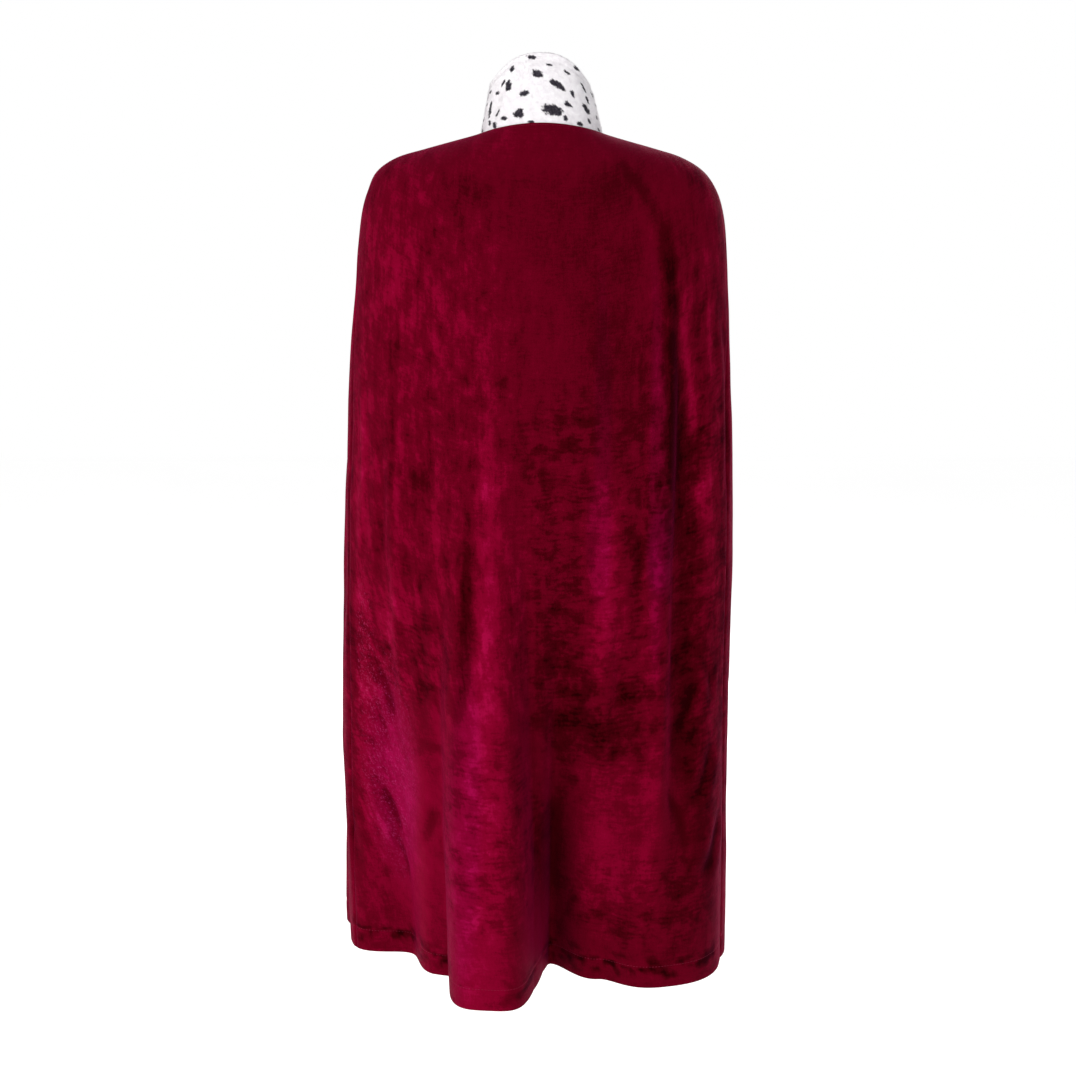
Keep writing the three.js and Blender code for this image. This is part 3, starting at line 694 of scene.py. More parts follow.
# The collar: plush, cut double on a fold along its top edge
collar = {
    "foot": {"left": 79, "right": 81, "sideZ": -12, "backY": 68, "backZ": 0, "frontY": -62, "frontZ": -48,
             "square": 2.0},
    "top": {"left": 65, "right": 62, "sideZ": 51, "backY": 47, "backZ": 87, "frontY": -68, "frontZ": 14,
            "square": 2.5},
    "thick": 5.0,
    "belly": 1.5,
    "hemFrom": 0.78,  # where the fronts' hems thicken the neck edge that the collar stands in
    "hemRun": 0.12,
    "endGap": 5.0,
    "foldUnder": 0.14,
    "bareEnd": 5.0,
    "bareRun": 5.0,
    "tuck": 0.01,
    "calmFrom": 0.03,  # no creases in the part that is sewn in
    "calmRun": 0.12,
    "rows": 74,
    "columns": 330,
    # rows close in on the fold and columns on the ends, and the even ones start after them
    "foldSteps": (0, 0.15, 0.45, 0.9, 1.6, 2.5),
    "endSteps": (0, 0.2, 0.6, 1.2, 2.5),
    "rowsFrom": 4.2,
    "columnsFrom": 0.018,
    "tall": 92.0,
    "halfRound": 205.0,
    # around from the middle back, rise, to around, rise, half width, height
    "creases": [
        (58, 12, 52, 66, 7, -2.2),
        (44, 20, 40, 58, 8, 1.0),
        (-70, 10, -58, 52, 8, -1.4),
        (20, 58, -34, 66, 6, -0.5),
        (104, 16, 96, 70, 7, -1.6),
        (-112, 12, -100, 64, 8, -1.8),
        (150, 20, 146, 60, 7, -1.5),
        (-156, 18, -150, 58, 7, -1.4),
        (128, 62, 176, 48, 7, -0.8),
    ],
    "creaseEnds": (0.1, 2.6),  # how far a crease runs on past its ends, and how steeply it fades
    "rollBelow": 10.0,  # the crease of the roll, under the folded top
    "rollDeep": 0.9,
    "rollWide": 3.2,
    "rollWander": (2.2, 31.0),
    "pillow": (0.5, 38, 30, 4.4),  # the plush's soft unevenness: height, width, length and seed
}


def collarRing(form, clear, side, angle):
    half = np.where(side > 0, form["left"], form["right"]) - clear
    backY, frontY = form["backY"] - clear, form["frontY"] + clear
    heights = (form[key] for key in ("sideZ", "backZ", "frontZ", "square"))
    return roundLevel(half, 0, backY, frontY, *heights, side, angle)


def collarPoints(rise, place):
    # rise is a share of the collar's height, place as on the velvet; both are grids
    side = np.where(place < 0, -1, 1)
    angle = math.pi * np.abs(place)
    hemmed = smooth((np.abs(place) - collar["hemFrom"]) / collar["hemRun"])
    clear = mantle["thick"] + (mantle["hemThick"] - mantle["thick"]) * hemmed + mantle["seamGap"]
    low = collarRing(collar["foot"], clear, side, angle)
    high = collarRing(collar["top"], 0, side, angle)
    points = low + (high - low) * np.maximum(rise, 0)[..., None]
    points[..., 2] += np.minimum(rise, 0) * (high - low)[..., 2]
    swell = np.where(rise > 0, np.sin(math.pi * rise), 0) * collar["belly"]
    return points + unit(points * np.array([1, 1, 0])) * swell[..., None]


def collarNormals(rise, place):
    reach = mantle["reach"]
    across = collarPoints(rise, place + reach) - collarPoints(rise, place - reach)
    return unit(np.stack([-across[..., 1], across[..., 0], np.zeros(rise.shape)], -1))


def collarRelief(around, height):
    lift = np.zeros_like(around)
    past, steep = collar["creaseEnds"]
    for *line, wide, high in collar["creases"]:
        t, across, _ = alongLine(around, height, line)
        lift += high * smooth(np.minimum(t + past, 1 + past - t) * steep) * ridge(across, wide)
    sway, length = collar["rollWander"]
    roll = collar["tall"] - collar["rollBelow"] + sway * np.sin(around / length)
    lift -= collar["rollDeep"] * ridge(height - roll, collar["rollWide"])
    high, *cell = collar["pillow"]
    return lift + high * noiseField(around, height, *cell)


# Black tails worked as spots. One repeat is charted: around, height, length, width and turn.
plush = {
    "repeat": 171.0,
    "shift": 47.0,  # where the repeat stands again, past the fold
    "rise": 96.0,
    "spots": [
        (-12, 17, 19, 13, 12), (24, 14, 11, 10, -30), (-26, 9, 8, 5, 70), (43, 12, 9, 5, 20),
        (57, 6, 9, 6, 70), (68, 13, 10, 5, 65), (-44, 4, 8, 6, 10), (-59, 13, 8, 5, 60),
        (11, 1, 6, 4, 0), (-80, 5, 7, 5, 40), (-29, 28, 10, 6, 38), (-57, 31, 14, 9, 40),
        (54, 25, 10, 4, -60), (70, 36, 21, 6, 96), (17, 40, 10, 7, -5), (-17, 51, 16, 8, 26),
        (-35, 45, 8, 5, 80), (-61, 48, 9, 5, 55), (37, 57, 14, 8, 92), (57, 56, 6, 5, 30),
        (46, 65, 9, 4, -50), (4, 65, 11, 7, 55), (-7, 76, 6, 2, 0), (-29, 72, 7, 4, 12),
        (-56, 64, 13, 5, 48), (33, 79, 7, 6, -40), (9, 87, 9, 4, 20), (-82, 66, 9, 5, 70),
        (-80, 26, 7, 4, 90), (78, 70, 8, 5, 20), (-46, 88, 9, 5, -20), (84, 50, 6, 4, 80),
    ],
    "seed": 41,
    "strands": 56000,
    "strandLong": 2.4,
    "strandWide": 0.5,
    "longRange": (0.65, 1.25),
    "wideRange": (0.6, 1.2),
    "waist": 0.36,  # half a lock's width at half its length
    "lay": 68.0,  # degrees that the pile leans down from upright
    "layWander": 9.0,
    "bend": (0.7, 1.15),  # the lower half stands up more than the lay and the upper half less
    "swing": 0.5,
    "sunk": 0.2,
    "bareOutside": 0.006,  # the shares of the height below which no pile grows
    "bareInside": 0.02,
    "softness": 0.25,
    "spotReach": 1.12,
    "spotFade": 0.2,
    "darkFrom": 0.2,  # a lock on a spot's edge is dark or white by chance
    "darkSpan": 0.6,
    "ragged": [(0.30, 3.8, 3.8, 6.6), (0.18, 1.4, 1.4, 2.3)],  # the spots' edges: share, width, length, seed
}


def spotsAt(around, height):
    # 1 in a spot and 0 in the white, with a ragged edge
    ragged = sum(share * noiseField(around, height, *cell) for share, *cell in plush["ragged"])
    nearest = np.full(around.shape, 9.0)
    half = plush["repeat"] / 2
    for x, y, long, wide, turn in plush["spots"]:
        along, up = math.cos(math.radians(turn)), math.sin(math.radians(turn))
        for shift, rise in ((0, 0), (plush["shift"], plush["rise"])):
            dx = (around - x - shift + half) % plush["repeat"] - half
            dy = height - y - rise
            p, q = dx * along + dy * up, dy * along - dx * up
            nearest = np.minimum(nearest, np.hypot(p / (long / 2), q / (wide / 2)))
    return smooth((plush["spotReach"] + ragged - nearest) / plush["spotFade"] + 0.5)


def makeCollar():
    tall, halfRound = collar["tall"], collar["halfRound"]
    last = 1 - math.asin(collar["endGap"] / 2 / collar["top"]["left"]) / math.pi
    even = np.linspace(1 - collar["rowsFrom"] / tall, -collar["foldUnder"], collar["rows"])
    rise = np.concatenate([1 - np.array(collar["foldSteps"]) / tall, even])
    end = last - np.array(collar["endSteps"]) / halfRound
    side = last - collar["columnsFrom"]
    across = np.concatenate([end, np.linspace(side, -side, collar["columns"]), -end[::-1]])
    rise, place = np.meshgrid(rise, across, indexing="ij")
    fromEnd = (last - np.abs(place)) * halfRound
    # the part inside the neckline stops short of the ends
    covered = smooth((fromEnd - collar["bareEnd"]) / collar["bareRun"])
    rise = np.where(rise < 0, rise * covered - collar["tuck"] * (1 - covered), rise)
    around, height = place * halfRound, rise * tall
    normal = collarNormals(rise, place)
    calm = smooth((rise - collar["calmFrom"]) / collar["calmRun"])
    outer = collarPoints(rise, place) + normal * (collarRelief(around, height) * calm)[..., None]
    spots = np.stack([spotsAt(around, height), spotsAt(around, 2 * tall - height)])
    return makeWall(
        "plushCollar", outer, normal, np.full(rise.shape, collar["thick"]), np.stack([around, height], -1),
        np.minimum((1 - rise) * tall, fromEnd), np.zeros(rise.shape, bool), {"spot": spots, "rise": rise},
    )


def readFloats(collection, key, width):
    values = np.empty(len(collection) * width, np.float32)
    collection.foreach_get(key, values)
    return values.reshape(-1, width) if width > 1 else values


def rootsOn(mesh, dice, count):
    # places all over the part of the collar that grows pile: the corners round each, and their shares
    rise = readFloats(mesh.attributes["rise"].data, "value", 1)
    points = readFloats(mesh.vertices, "co", 3)
    mesh.calc_loop_triangles()
    corners = np.empty(len(mesh.loop_triangles) * 3, np.int32)
    mesh.loop_triangles.foreach_get("vertices", corners)
    corners = corners.reshape(-1, 3)
    outside = np.arange(len(points)) < len(points) // 2
    lowest = np.where(outside, plush["bareOutside"], plush["bareInside"] - collar["foldUnder"])
    corners = corners[(rise[corners] > lowest[corners]).all(axis=1)]
    a, b, c = (points[corners[:, i]] for i in range(3))
    area = np.linalg.norm(np.cross(b - a, c - a), axis=1)
    chosen = dice.choice(len(corners), count, p=area / area.sum())
    u, v = dice.random((2, count))
    fold = u + v > 1
    u[fold], v[fold] = 1 - u[fold], 1 - v[fold]
    return corners[chosen], np.stack([1 - u - v, u, v], -1)


def makePile(base):
    # short plush pile, one lock at a time, rooted all over the collar and leaning down
    mesh, count = base.data, plush["strands"]
    dice = np.random.default_rng(plush["seed"])
    picked, weights = rootsOn(mesh, dice, count)
    root = (readFloats(mesh.vertices, "co", 3)[picked] * weights[..., None]).sum(1)
    normal = unit((readFloats(mesh.vertices, "normal", 3)[picked] * weights[..., None]).sum(1))
    spot = (readFloats(mesh.attributes["spot"].data, "value", 1)[picked] * weights).sum(1)
    dark = spot > plush["darkFrom"] + plush["darkSpan"] * dice.random(count)
    downward = unit(np.array([0, 0, -1.0]) + normal * normal[:, 2:3])
    sideways = unit(np.cross(normal, downward))
    lean = unit(downward + sideways * dice.normal(0, plush["swing"], count)[:, None])
    flat = unit(np.cross(normal, lean))
    long = plush["strandLong"] * mm * dice.uniform(*plush["longRange"], count)[:, None]
    wide = plush["strandWide"] * mm * dice.uniform(*plush["wideRange"], count)[:, None]
    tilt = np.radians(plush["lay"] + dice.normal(0, plush["layWander"], count))[:, None]
    spine = [root]
    for bend in plush["bend"]:
        spine.append(spine[-1] + (normal * np.cos(tilt * bend) + lean * np.sin(tilt * bend)) * long * 0.5)
    root, middle, tip = spine
    sunk, half, waist = root - normal * plush["sunk"] * mm, flat * wide / 2, flat * wide * plush["waist"]
    points = np.stack([sunk - half, sunk + half, middle + waist, middle - waist, tip], 1).reshape(-1, 3)
    each = 5  # two points in the cloth, two half way and the tip
    start = np.arange(count)[:, None] * each
    faces = (start + np.array([3, 2, 1, 0])).tolist() + (start + np.array([4, 2, 3])).tolist()
    piece = newPiece("collarPile", points, faces)
    addMasks(piece.data, {
        "spot": np.repeat(dark, each),
        "shade": np.repeat(dice.random(count), each),
        "tip": np.tile([0, 0, 0.5, 0.5, 1.0], count),
    })
    soft = unit(normal + lean * plush["softness"])
    piece.data.normals_split_custom_set_from_vertices(np.repeat(soft, each, axis=0).tolist())
    return piece


plushCollar = makeCollar()
collarPile = makePile(plushCollar)
print("collar made")

# Sewing: one short arch of thread for each stitch that shows
stitch = {
    "neck": {"pitch": 3.0, "long": 1.9, "thick": 0.34, "high": 0.22},
    "hem": {"pitch": 4.2, "long": 2.5, "thick": 0.36, "high": 0.2},
    "neckDrop": 3.2,
    "edgeRows": slice(3, -8),  # down the front edges, short of the neck and of the hem's foot
    "sides": 5,
    "steps": 4,
    "endsIn": 0.9,  # how far its ends go into the cloth, as a share of its thickness
    "ahead": 0.4,
}


def pointsAt(at, run, points):
    return np.stack([np.interp(at, run, points[:, axis]) for axis in range(3)], -1)


def tubesAlong(paths, radius, sides):
    # closed tubes: paths is tubes × steps × 3
    tubes, steps, _ = paths.shape
    tangent = unit(np.gradient(paths, axis=1))
    helper = np.where(np.abs(tangent[..., 2:3]) > 0.8, [1.0, 0, 0], [0, 0, 1.0])
    first = unit(np.cross(tangent, helper))
    second = np.cross(tangent, first)
    turn = np.linspace(0, 2 * math.pi, sides, endpoint=False)
    ring = first[:, :, None] * np.cos(turn)[:, None] + second[:, :, None] * np.sin(turn)[:, None]
    points = (paths[:, :, None] + ring * radius).reshape(-1, 3)
    start = np.arange(tubes)[:, None, None] * steps * sides
    i = (np.arange(steps - 1) * sides)[None, :, None]
    k, after = np.arange(sides)[None, None], ((np.arange(sides) + 1) % sides)[None, None]
    quads = np.stack([start + i + k, start + i + after, start + i + sides + after, start + i + sides + k], -1)
    first = (start[:, 0] + np.arange(sides)[::-1]).tolist()
    last = (start[:, 0] + (steps - 1) * sides + np.arange(sides)).tolist()
    return points, quads.reshape(-1, 4).tolist() + first + last


def makeStitches(name, lines, style):
    arches = []
    for points, normals in lines:
        run = runAlong(points)
        at = np.arange(style["pitch"], run[-1] - style["pitch"], style["pitch"])
        place, out = pointsAt(at, run, points), unit(pointsAt(at, run, normals))
        along = unit(pointsAt(at + stitch["ahead"], run, points) - place)
        reach = np.linspace(-1, 1, stitch["steps"] + 1)[None, :, None]
        rise = style["high"] * (1 - reach**4) - style["thick"] * stitch["endsIn"] * reach**4
        arches.append(place[:, None] + along[:, None] * reach * style["long"] / 2 + out[:, None] * rise)
    points, faces = tubesAlong(np.concatenate(arches), style["thick"] / 2, stitch["sides"])
    return newPiece(name, points * mm, faces)


def rowLine(made, drop):
    row = int(np.argmin(np.abs(made["drop"] - drop)))
    return made["outer"][row], made["normal"][row]


def edgeLine(made):
    column = int(np.argmin(np.abs(made["fromEdge"][-1] - mantle["edgeHemWide"])))
    rows = stitch["edgeRows"]
    return made["outer"][rows, column], made["normal"][rows, column]


neckLines = [rowLine(made, stitch["neckDrop"]) for made in panels]
hemLines = [rowLine(made, mantle["long"] - mantle["hemDeep"]) for made in panels]
hemLines += [edgeLine(frontLeft), edgeLine(frontRight)]
neckStitches = makeStitches("neckStitches", neckLines, stitch["neck"])
hemStitches = makeStitches("hemStitches", hemLines, stitch["hem"])

# The hook and the eye are the frame's own wires. Thread holds their loops to the inside of the collar.
hookThread = {
    "radius": 0.22,
    "sides": 6,
    "closingRise": 0.22,
    "frontTall": 62.0,
    # three turns side by side, each from under the plush over the wire and back
    "turns": (-0.32, 0.14, 0.58),
    "reach": (-1.7, -1.25, -0.5, 0.5, 1.25, 1.7),
    "off": (-0.275, 1.125, 1.845, 1.845, 1.125, -0.275),
    # side from the middle of the throat, up, and the loop's own middle
    "hook": [(13.9, 2.3), (14.3, 4.0), (13.0, 5.2), (11.3, 4.9), (7.6, 1.5)],
    "hookMiddle": (12.4, 3.6),
    "eye": [(-16.1, 2.9), (-16.5, 4.5), (-15.3, 5.8), (-13.5, 5.7), (-11.9, 4.5)],
    "eyeMiddle": (-14.6, 4.2),
}


def insidePoints(side, up, off):
    hand = np.where(side < 0, -1, 1)
    wide = np.where(side < 0, collar["top"]["right"], collar["top"]["left"])
    rise = hookThread["closingRise"] + up / hookThread["frontTall"]
    place = hand * (1 - np.arcsin(np.abs(side) / wide) / math.pi)
    return collarPoints(rise, place) - collarNormals(rise, place) * (collar["thick"] + off)[..., None]


def makeHookThreads(name, loop, middle):
    reach, off = np.array(hookThread["reach"]), np.array(hookThread["off"])
    arches = []
    for x, y in loop:
        away = np.array([x - middle[0], y - middle[1]])
        away = away / np.hypot(*away)
        for mirror in (1, -1):
            for turn in hookThread["turns"]:
                side = x + away[0] * reach - away[1] * turn
                up = (y + away[1] * reach + away[0] * turn) * mirror
                arches.append(insidePoints(side, up, off))
    points, faces = tubesAlong(np.stack(arches), hookThread["radius"], hookThread["sides"])
    return newPiece(name, points * mm, faces)


hookStitches = makeHookThreads("hookStitches", hookThread["hook"], hookThread["hookMiddle"])
eyeStitches = makeHookThreads("eyeStitches", hookThread["eye"], hookThread["eyeMiddle"])
print("stitches made")


# Shader building: each call adds one node and gives back its output
def fill(tree, node, inputs):
    # a socket is linked, and anything else is set as the input's own value
    for key, value in inputs.items():
        if isinstance(value, bpy.types.NodeSocket):
            tree.links.new(value, node.inputs[key])
        else:
            node.inputs[key].default_value = value


def addNode(tree, kind, inputs=None, output=0, **settings):
    node = tree.nodes.new("ShaderNode" + kind)
    for key, value in settings.items():
        setattr(node, key, value)
    fill(tree, node, inputs or {})
    return node.outputs[output]


def worked(tree, operation, *values):
    # one maths node for each value after the first
    result = values[0]
    for value in values[1:]:
        result = addNode(tree, "Math", {0: result, 1: value}, operation=operation)
    return result


def plus(tree, *values):
    return worked(tree, "ADD", *values)


def times(tree, *values):
    return worked(tree, "MULTIPLY", *values)


def over(tree, value, by):
    return worked(tree, "DIVIDE", value, by)


def wave(tree, turns):
    return addNode(tree, "Math", {0: times(tree, turns, 2 * math.pi)}, operation="SINE")


def clamped(value):
    # held between 0 and 1
    value.node.use_clamp = True
    return value


def within(tree, mask, gain, base):
    # base outside a mask, and gain more inside it
    return plus(tree, times(tree, mask, gain), base)


def weighted(tree, values, weights):
    return plus(tree, *[times(tree, values[name], weight) for name, weight in weights.items()])


def remap(tree, value, low, high, start=0.0, end=1.0):
    return addNode(tree, "MapRange", {0: value, 1: low, 2: high, 3: start, 4: end})


def blend(tree, share, a, b, kind="MIX"):
    return addNode(tree, "Mix", {0: share, 6: a, 7: b}, output=2, data_type="RGBA", blend_type=kind)


def attributeOf(tree, name):
    return addNode(tree, "Attribute", attribute_name=name, output="Fac")


def clothPlace(tree):
    return addNode(tree, "UVMap", uv_map="clothUv")


def objectPlace(tree):
    return addNode(tree, "TexCoord", output="Object")


def combined(tree, x, y, z):
    return addNode(tree, "CombineXYZ", {0: x, 1: y, 2: z})


def noiseOf(tree, place, scale, detail, ragged, twist=0.0):
    values = {"Vector": place, "Scale": scale, "Detail": detail, "Roughness": ragged, "Distortion": twist}
    return addNode(tree, "TexNoise", values)


def relief(tree, height, strength, distance):
    return addNode(tree, "Bump", {"Strength": strength, "Distance": distance, "Height": height})


def ramp(tree, factor, stops):
    node = tree.nodes.new("ShaderNodeValToRGB")
    node.color_ramp.interpolation = "EASE"
    while len(node.color_ramp.elements) < len(stops):
        node.color_ramp.elements.new(0.5)
    for element, (place, color) in zip(node.color_ramp.elements, stops):
        element.position = place
        element.color = (*color, 1)
    tree.links.new(factor, node.inputs[0])
    return node.outputs[0]


def newGroup(name, values, result):
    # a group that takes the place on the cloth and the named values, and gives one value back
    group = bpy.data.node_groups.new(name, "ShaderNodeTree")
    group.interface.new_socket(name="Cloth", in_out="INPUT", socket_type="NodeSocketVector")
    for label, value in values.items():
        socket = group.interface.new_socket(name=label, in_out="INPUT", socket_type="NodeSocketFloat")
        socket.default_value = value
    group.interface.new_socket(name=result, in_out="OUTPUT", socket_type="NodeSocketFloat")
    given = group.nodes.new("NodeGroupInput").outputs
    out = group.nodes.new("NodeGroupOutput").inputs[result]
    parts = addNode(group, "SeparateXYZ", {0: given["Cloth"]}).node.outputs
    return group, given, out, parts


def makeMottle():
    # uneven patches of a stated width and height in metres; the output wanders about 0 from -1 to 1
    values = {"Width": 0.05, "Height": 0.05, "Ragged": 0.5, "Twist": 0.0, "Shift": 0.0}
    group, given, out, (x, y, z) = newGroup("clothMottle", values, "Value")
    deep = plus(group, over(group, z, given["Width"]), given["Shift"])
    place = combined(group, over(group, x, given["Width"]), over(group, y, given["Height"]), deep)
    value = noiseOf(group, place, 1.0, 4.0, given["Ragged"], given["Twist"])
    group.links.new(remap(group, value, 0.28, 0.72, -1.0), out)
    return group


def makePressLines():
    # soft level lines where the pile was pressed, broken and wandering: 0 on plain pile and 1 in a line
    group, given, out, (x, y, _) = newGroup("pressLines", {"Long": 0.05, "Pitch": 0.008}, "Line")
    long = given["Long"]
    wander = noiseOf(group, combined(group, over(group, x, long), over(group, y, long), 0.7), 0.9, 2.0, 0.5)
    level = over(group, y, given["Pitch"])
    line = remap(group, wave(group, plus(group, level, times(group, wander, 5.0))), -0.7, 1.0)
    short = combined(group, over(group, x, times(group, long, 0.45)), times(group, level, 0.6), 3.1)
    share = remap(group, noiseOf(group, short, 1.0, 2.0, 0.6), 0.36, 0.72)
    group.links.new(times(group, line, share), out)
    return group


def makeKnitGround():
    # the ribs and courses of a fine knitted ground
    group, given, out, (x, y, _) = newGroup("knitGround", {"Rib": 0.0011, "Course": 0.0009}, "Height")
    rib = times(group, wave(group, over(group, x, given["Rib"])), 0.35)
    course = times(group, wave(group, over(group, y, given["Course"])), 0.15)
    group.links.new(plus(group, rib, course, 0.5), out)
    return group


mottle, pressLines, knitGround = makeMottle(), makePressLines(), makeKnitGround()


def mottled(tree, place, width, height, ragged=0.5, twist=0.0, shift=0.0):
    values = {"Cloth": place, "Width": width, "Height": height, "Ragged": ragged}
    return addNode(tree, "Group", {**values, "Twist": twist, "Shift": shift}, node_tree=mottle)


def newMaterial(name):
    material = bpy.data.materials.new(name)
    material.use_nodes = True
    return material, material.node_tree, material.node_tree.nodes["Principled BSDF"]


velvetLook = {
    # the pile's colour, from nap lying away from the light to nap lying towards it, and from painted shade to
    # painted light on the folds
    "tones": [
        (0.0, (0.014, 0.0001, 0.0003)),
        (0.24, (0.043, 0.0002, 0.0022)),
        (0.5, (0.094, 0.0003, 0.0066)),
        (0.76, (0.168, 0.0005, 0.0150)),
        (1.0, (0.262, 0.002, 0.0345)),
    ],
    "level": 0.565,
    # patches of the pile, in metres: width, height, raggedness, twist and seed
    "patches": {
        "broad": (0.085, 0.17, 0.5, 0.3, 1.7),
        "cloudy": (0.020, 0.030, 0.62, 0.3, 5.1),
        "upright": (0.008, 0.050, 0.6, 0.15, 9.4),
        "small": (0.0070, 0.0050, 0.65, 0.3, 7.7),
        "brushedAcross": (0.0150, 0.0024, 0.6, 0.1, 4.9),
        "brushedDown": (0.0024, 0.0140, 0.6, 0.1, 8.3),
        "grain": (0.0016, 0.0022, 0.75, 0.0, 2.6),
        "fibre": (0.0004, 0.0010, 0.7, 0.0, 1.2),
        "flat": (0.026, 0.019, 0.6, 0.3, 6.2),
        "lively": (0.004, 0.006, 0.6, 0.3, 3.3),
    },
    # how strongly each one tells: what its mask adds, and what is there without it
    "smears": (0.132, 0.05),
    "handled": (0.62, 0.38),
    "blots": (0.85, 0.12),
    "lines": (0.15, 0.05),
    "smearDepth": 0.6,
    "blotDepth": 0.34,
    "lineLong": 0.060,
    "linePitch": 0.0070,
    # where a noise starts to tell and tells fully
    "blotRange": (-0.25, 1.1),
    "gatherRange": (-0.8, 0.7, 1.0, 0.35),
    "fleckRange": (0.52, 0.18),
    "livelyRange": (-0.3, 0.7),
    # how far each one moves the colour along the tones, and how far it raises the pile
    "toneOf": {
        "napAndPaintedShade": 0.34, "broad": 0.085, "cloudy": 0.102, "small": 0.068, "brushedAcross": 0.042,
        "brushedDown": 0.0336, "broken": 1.0, "blots": -1.0, "lines": -1.0, "grain": 0.075, "fibre": 0.06,
    },
    "heightOf": {
        "broken": 2.0, "lines": -0.9, "blots": -0.8, "small": 0.12, "brushedAcross": 0.08, "grain": 0.16,
        "fibre": 0.12, "cloudy": 0.2,
    },
    "roughness": (0.9, 0.58),
    "reliefStrength": 0.55,
    "relief": 0.0007,
    # painted glints: how fine the specks are, how strongly they show, and their colour
    "specks": 420.0,
    "paintedGlint": 0.42,
    "paintedGlintColor": (0.46, 0.036, 0.135, 1),
    # the violet of the painted sheen on the ridges
    "paintedSheen": (0.9, 1.0, 4.5, 1),  # how far the ridges turn to violet
    "sheenTint": (1.0, 0.01, 0.22, 1),
    "specularTint": (1.0, 0.03, 0.22, 1),
}


def makeVelvet():
    look = velvetLook
    material, tree, shader = newMaterial("crushedVelvet")
    cloth = clothPlace(tree)
    pile = {name: mottled(tree, cloth, *size) for name, size in look["patches"].items()}
    for name in ("napAndPaintedShade", "press", "smear", "paintedGlint", "paintedSheen"):
        pile[name] = attributeOf(tree, name)
    press, smear = pile["press"], pile["smear"]
    blotch = times(tree, plus(tree, pile["upright"], pile["cloudy"]), look["smearDepth"])
    pile["broken"] = times(tree, blotch, within(tree, smear, *look["smears"]))
    handled = within(tree, worked(tree, "MAXIMUM", press, smear), *look["handled"])
    for name in ("cloudy", "small"):
        pile[name] = times(tree, pile[name], handled)
    blot = remap(tree, pile["flat"], *look["blotRange"])
    pile["blots"] = times(tree, blot, within(tree, press, *look["blots"]), look["blotDepth"])
    line = addNode(tree, "Group", {"Cloth": cloth, "Long": look["lineLong"], "Pitch": look["linePitch"]},
                   node_tree=pressLines)
    gathered = remap(tree, pile["cloudy"], *look["gatherRange"])
    pile["lines"] = times(tree, line, gathered, within(tree, press, *look["lines"]))
    # the tone follows the nap, with its painted shade in fold valleys and creases and painted light on ridges
    tone = clamped(plus(tree, weighted(tree, pile, look["toneOf"]), look["level"]))
    # painted glints: pale specks blended into the colour for light caught by single hairs
    speck = addNode(tree, "TexVoronoi", {"Vector": cloth, "Scale": look["specks"], "Randomness": 1.0})
    fleck = remap(tree, speck, *look["fleckRange"])
    lively = remap(tree, pile["lively"], *look["livelyRange"])
    paintedGlintShare = times(tree, fleck, lively, times(tree, pile["paintedGlint"], look["paintedGlint"]))
    color = blend(tree, paintedGlintShare, ramp(tree, tone, look["tones"]), look["paintedGlintColor"])
    # painted sheen: the ridges turned towards violet
    color = blend(tree, pile["paintedSheen"], color, look["paintedSheen"], kind="MULTIPLY")
    height = weighted(tree, pile, look["heightOf"])
    fill(tree, shader, {
        "Base Color": color,
        "Roughness": remap(tree, tone, 0.0, 1.0, *look["roughness"]),
        "Normal": relief(tree, height, look["reliefStrength"], look["relief"]),
        "Sheen Weight": 0.16,
        "Sheen Roughness": 0.42,
        "Sheen Tint": look["sheenTint"],
        "Specular IOR Level": 0.02,
        "Specular Tint": look["specularTint"],
    })
    return material


wrongSideLook = {
    "tones": [
        (0.0, (0.060, 0.0016, 0.0085)),
        (0.5, (0.118, 0.0040, 0.0180)),
        (1.0, (0.190, 0.0100, 0.0360)),
    ],
    "patches": {"cloud": (0.05, 0.09, 0.5, 0.0, 4.2), "fuzz": (0.0016, 0.0016, 0.7)},
    "toneOf": {"cloud": 0.1, "fuzz": 0.1, "knit": 0.5},
    "heightOf": {"knit": 0.8, "fuzz": 0.2},
    "level": 0.2,
    "relief": (0.5, 0.0003),
}


def makeWrongSide():
    # the plain knitted ground that the pile stands on, seen from inside
    look = wrongSideLook
    material, tree, shader = newMaterial("velvetWrongSide")
    cloth = clothPlace(tree)
    ground = {name: mottled(tree, cloth, *size) for name, size in look["patches"].items()}
    ground["knit"] = addNode(tree, "Group", {"Cloth": cloth}, node_tree=knitGround)
    tone = clamped(plus(tree, weighted(tree, ground, look["toneOf"]), look["level"]))
    fill(tree, shader, {
        "Base Color": ramp(tree, tone, look["tones"]),
        "Normal": relief(tree, weighted(tree, ground, look["heightOf"]), *look["relief"]),
        "Roughness": 0.92,
        "Sheen Weight": 0.1,
        "Sheen Tint": velvetLook["sheenTint"],
        "Specular IOR Level": 0.2,
        "Specular Tint": velvetLook["specularTint"],
    })
    return material


plushLook = {
    "white": (0.945, 0.930, 0.945, 1),
    # a dimmer white: the tufts' own tone, and painted shade at the roots of the locks
    "dimWhiteAndPaintedShade": (0.800, 0.768, 0.800, 1),
    "spot": (0.020, 0.017, 0.025, 1),
    "spotWorn": (0.110, 0.095, 0.122, 1),
    # patches in metres: width, height and raggedness
    "tuft": (0.006, 0.006, 0.65),
    "rub": (0.0024, 0.0024, 0.7),
    "tuftRange": (-0.8, 0.9),
    "rubRange": (-0.2, 1.0, 0.0, 0.8),
    # painted shade: a lock darkens towards its root, deep in the pile
    "lockToneAndPaintedShade": (0.5, 0.45),  # what its tuft and its depth add to the shade on a lock
    "relief": (0.6, 0.0006),
}


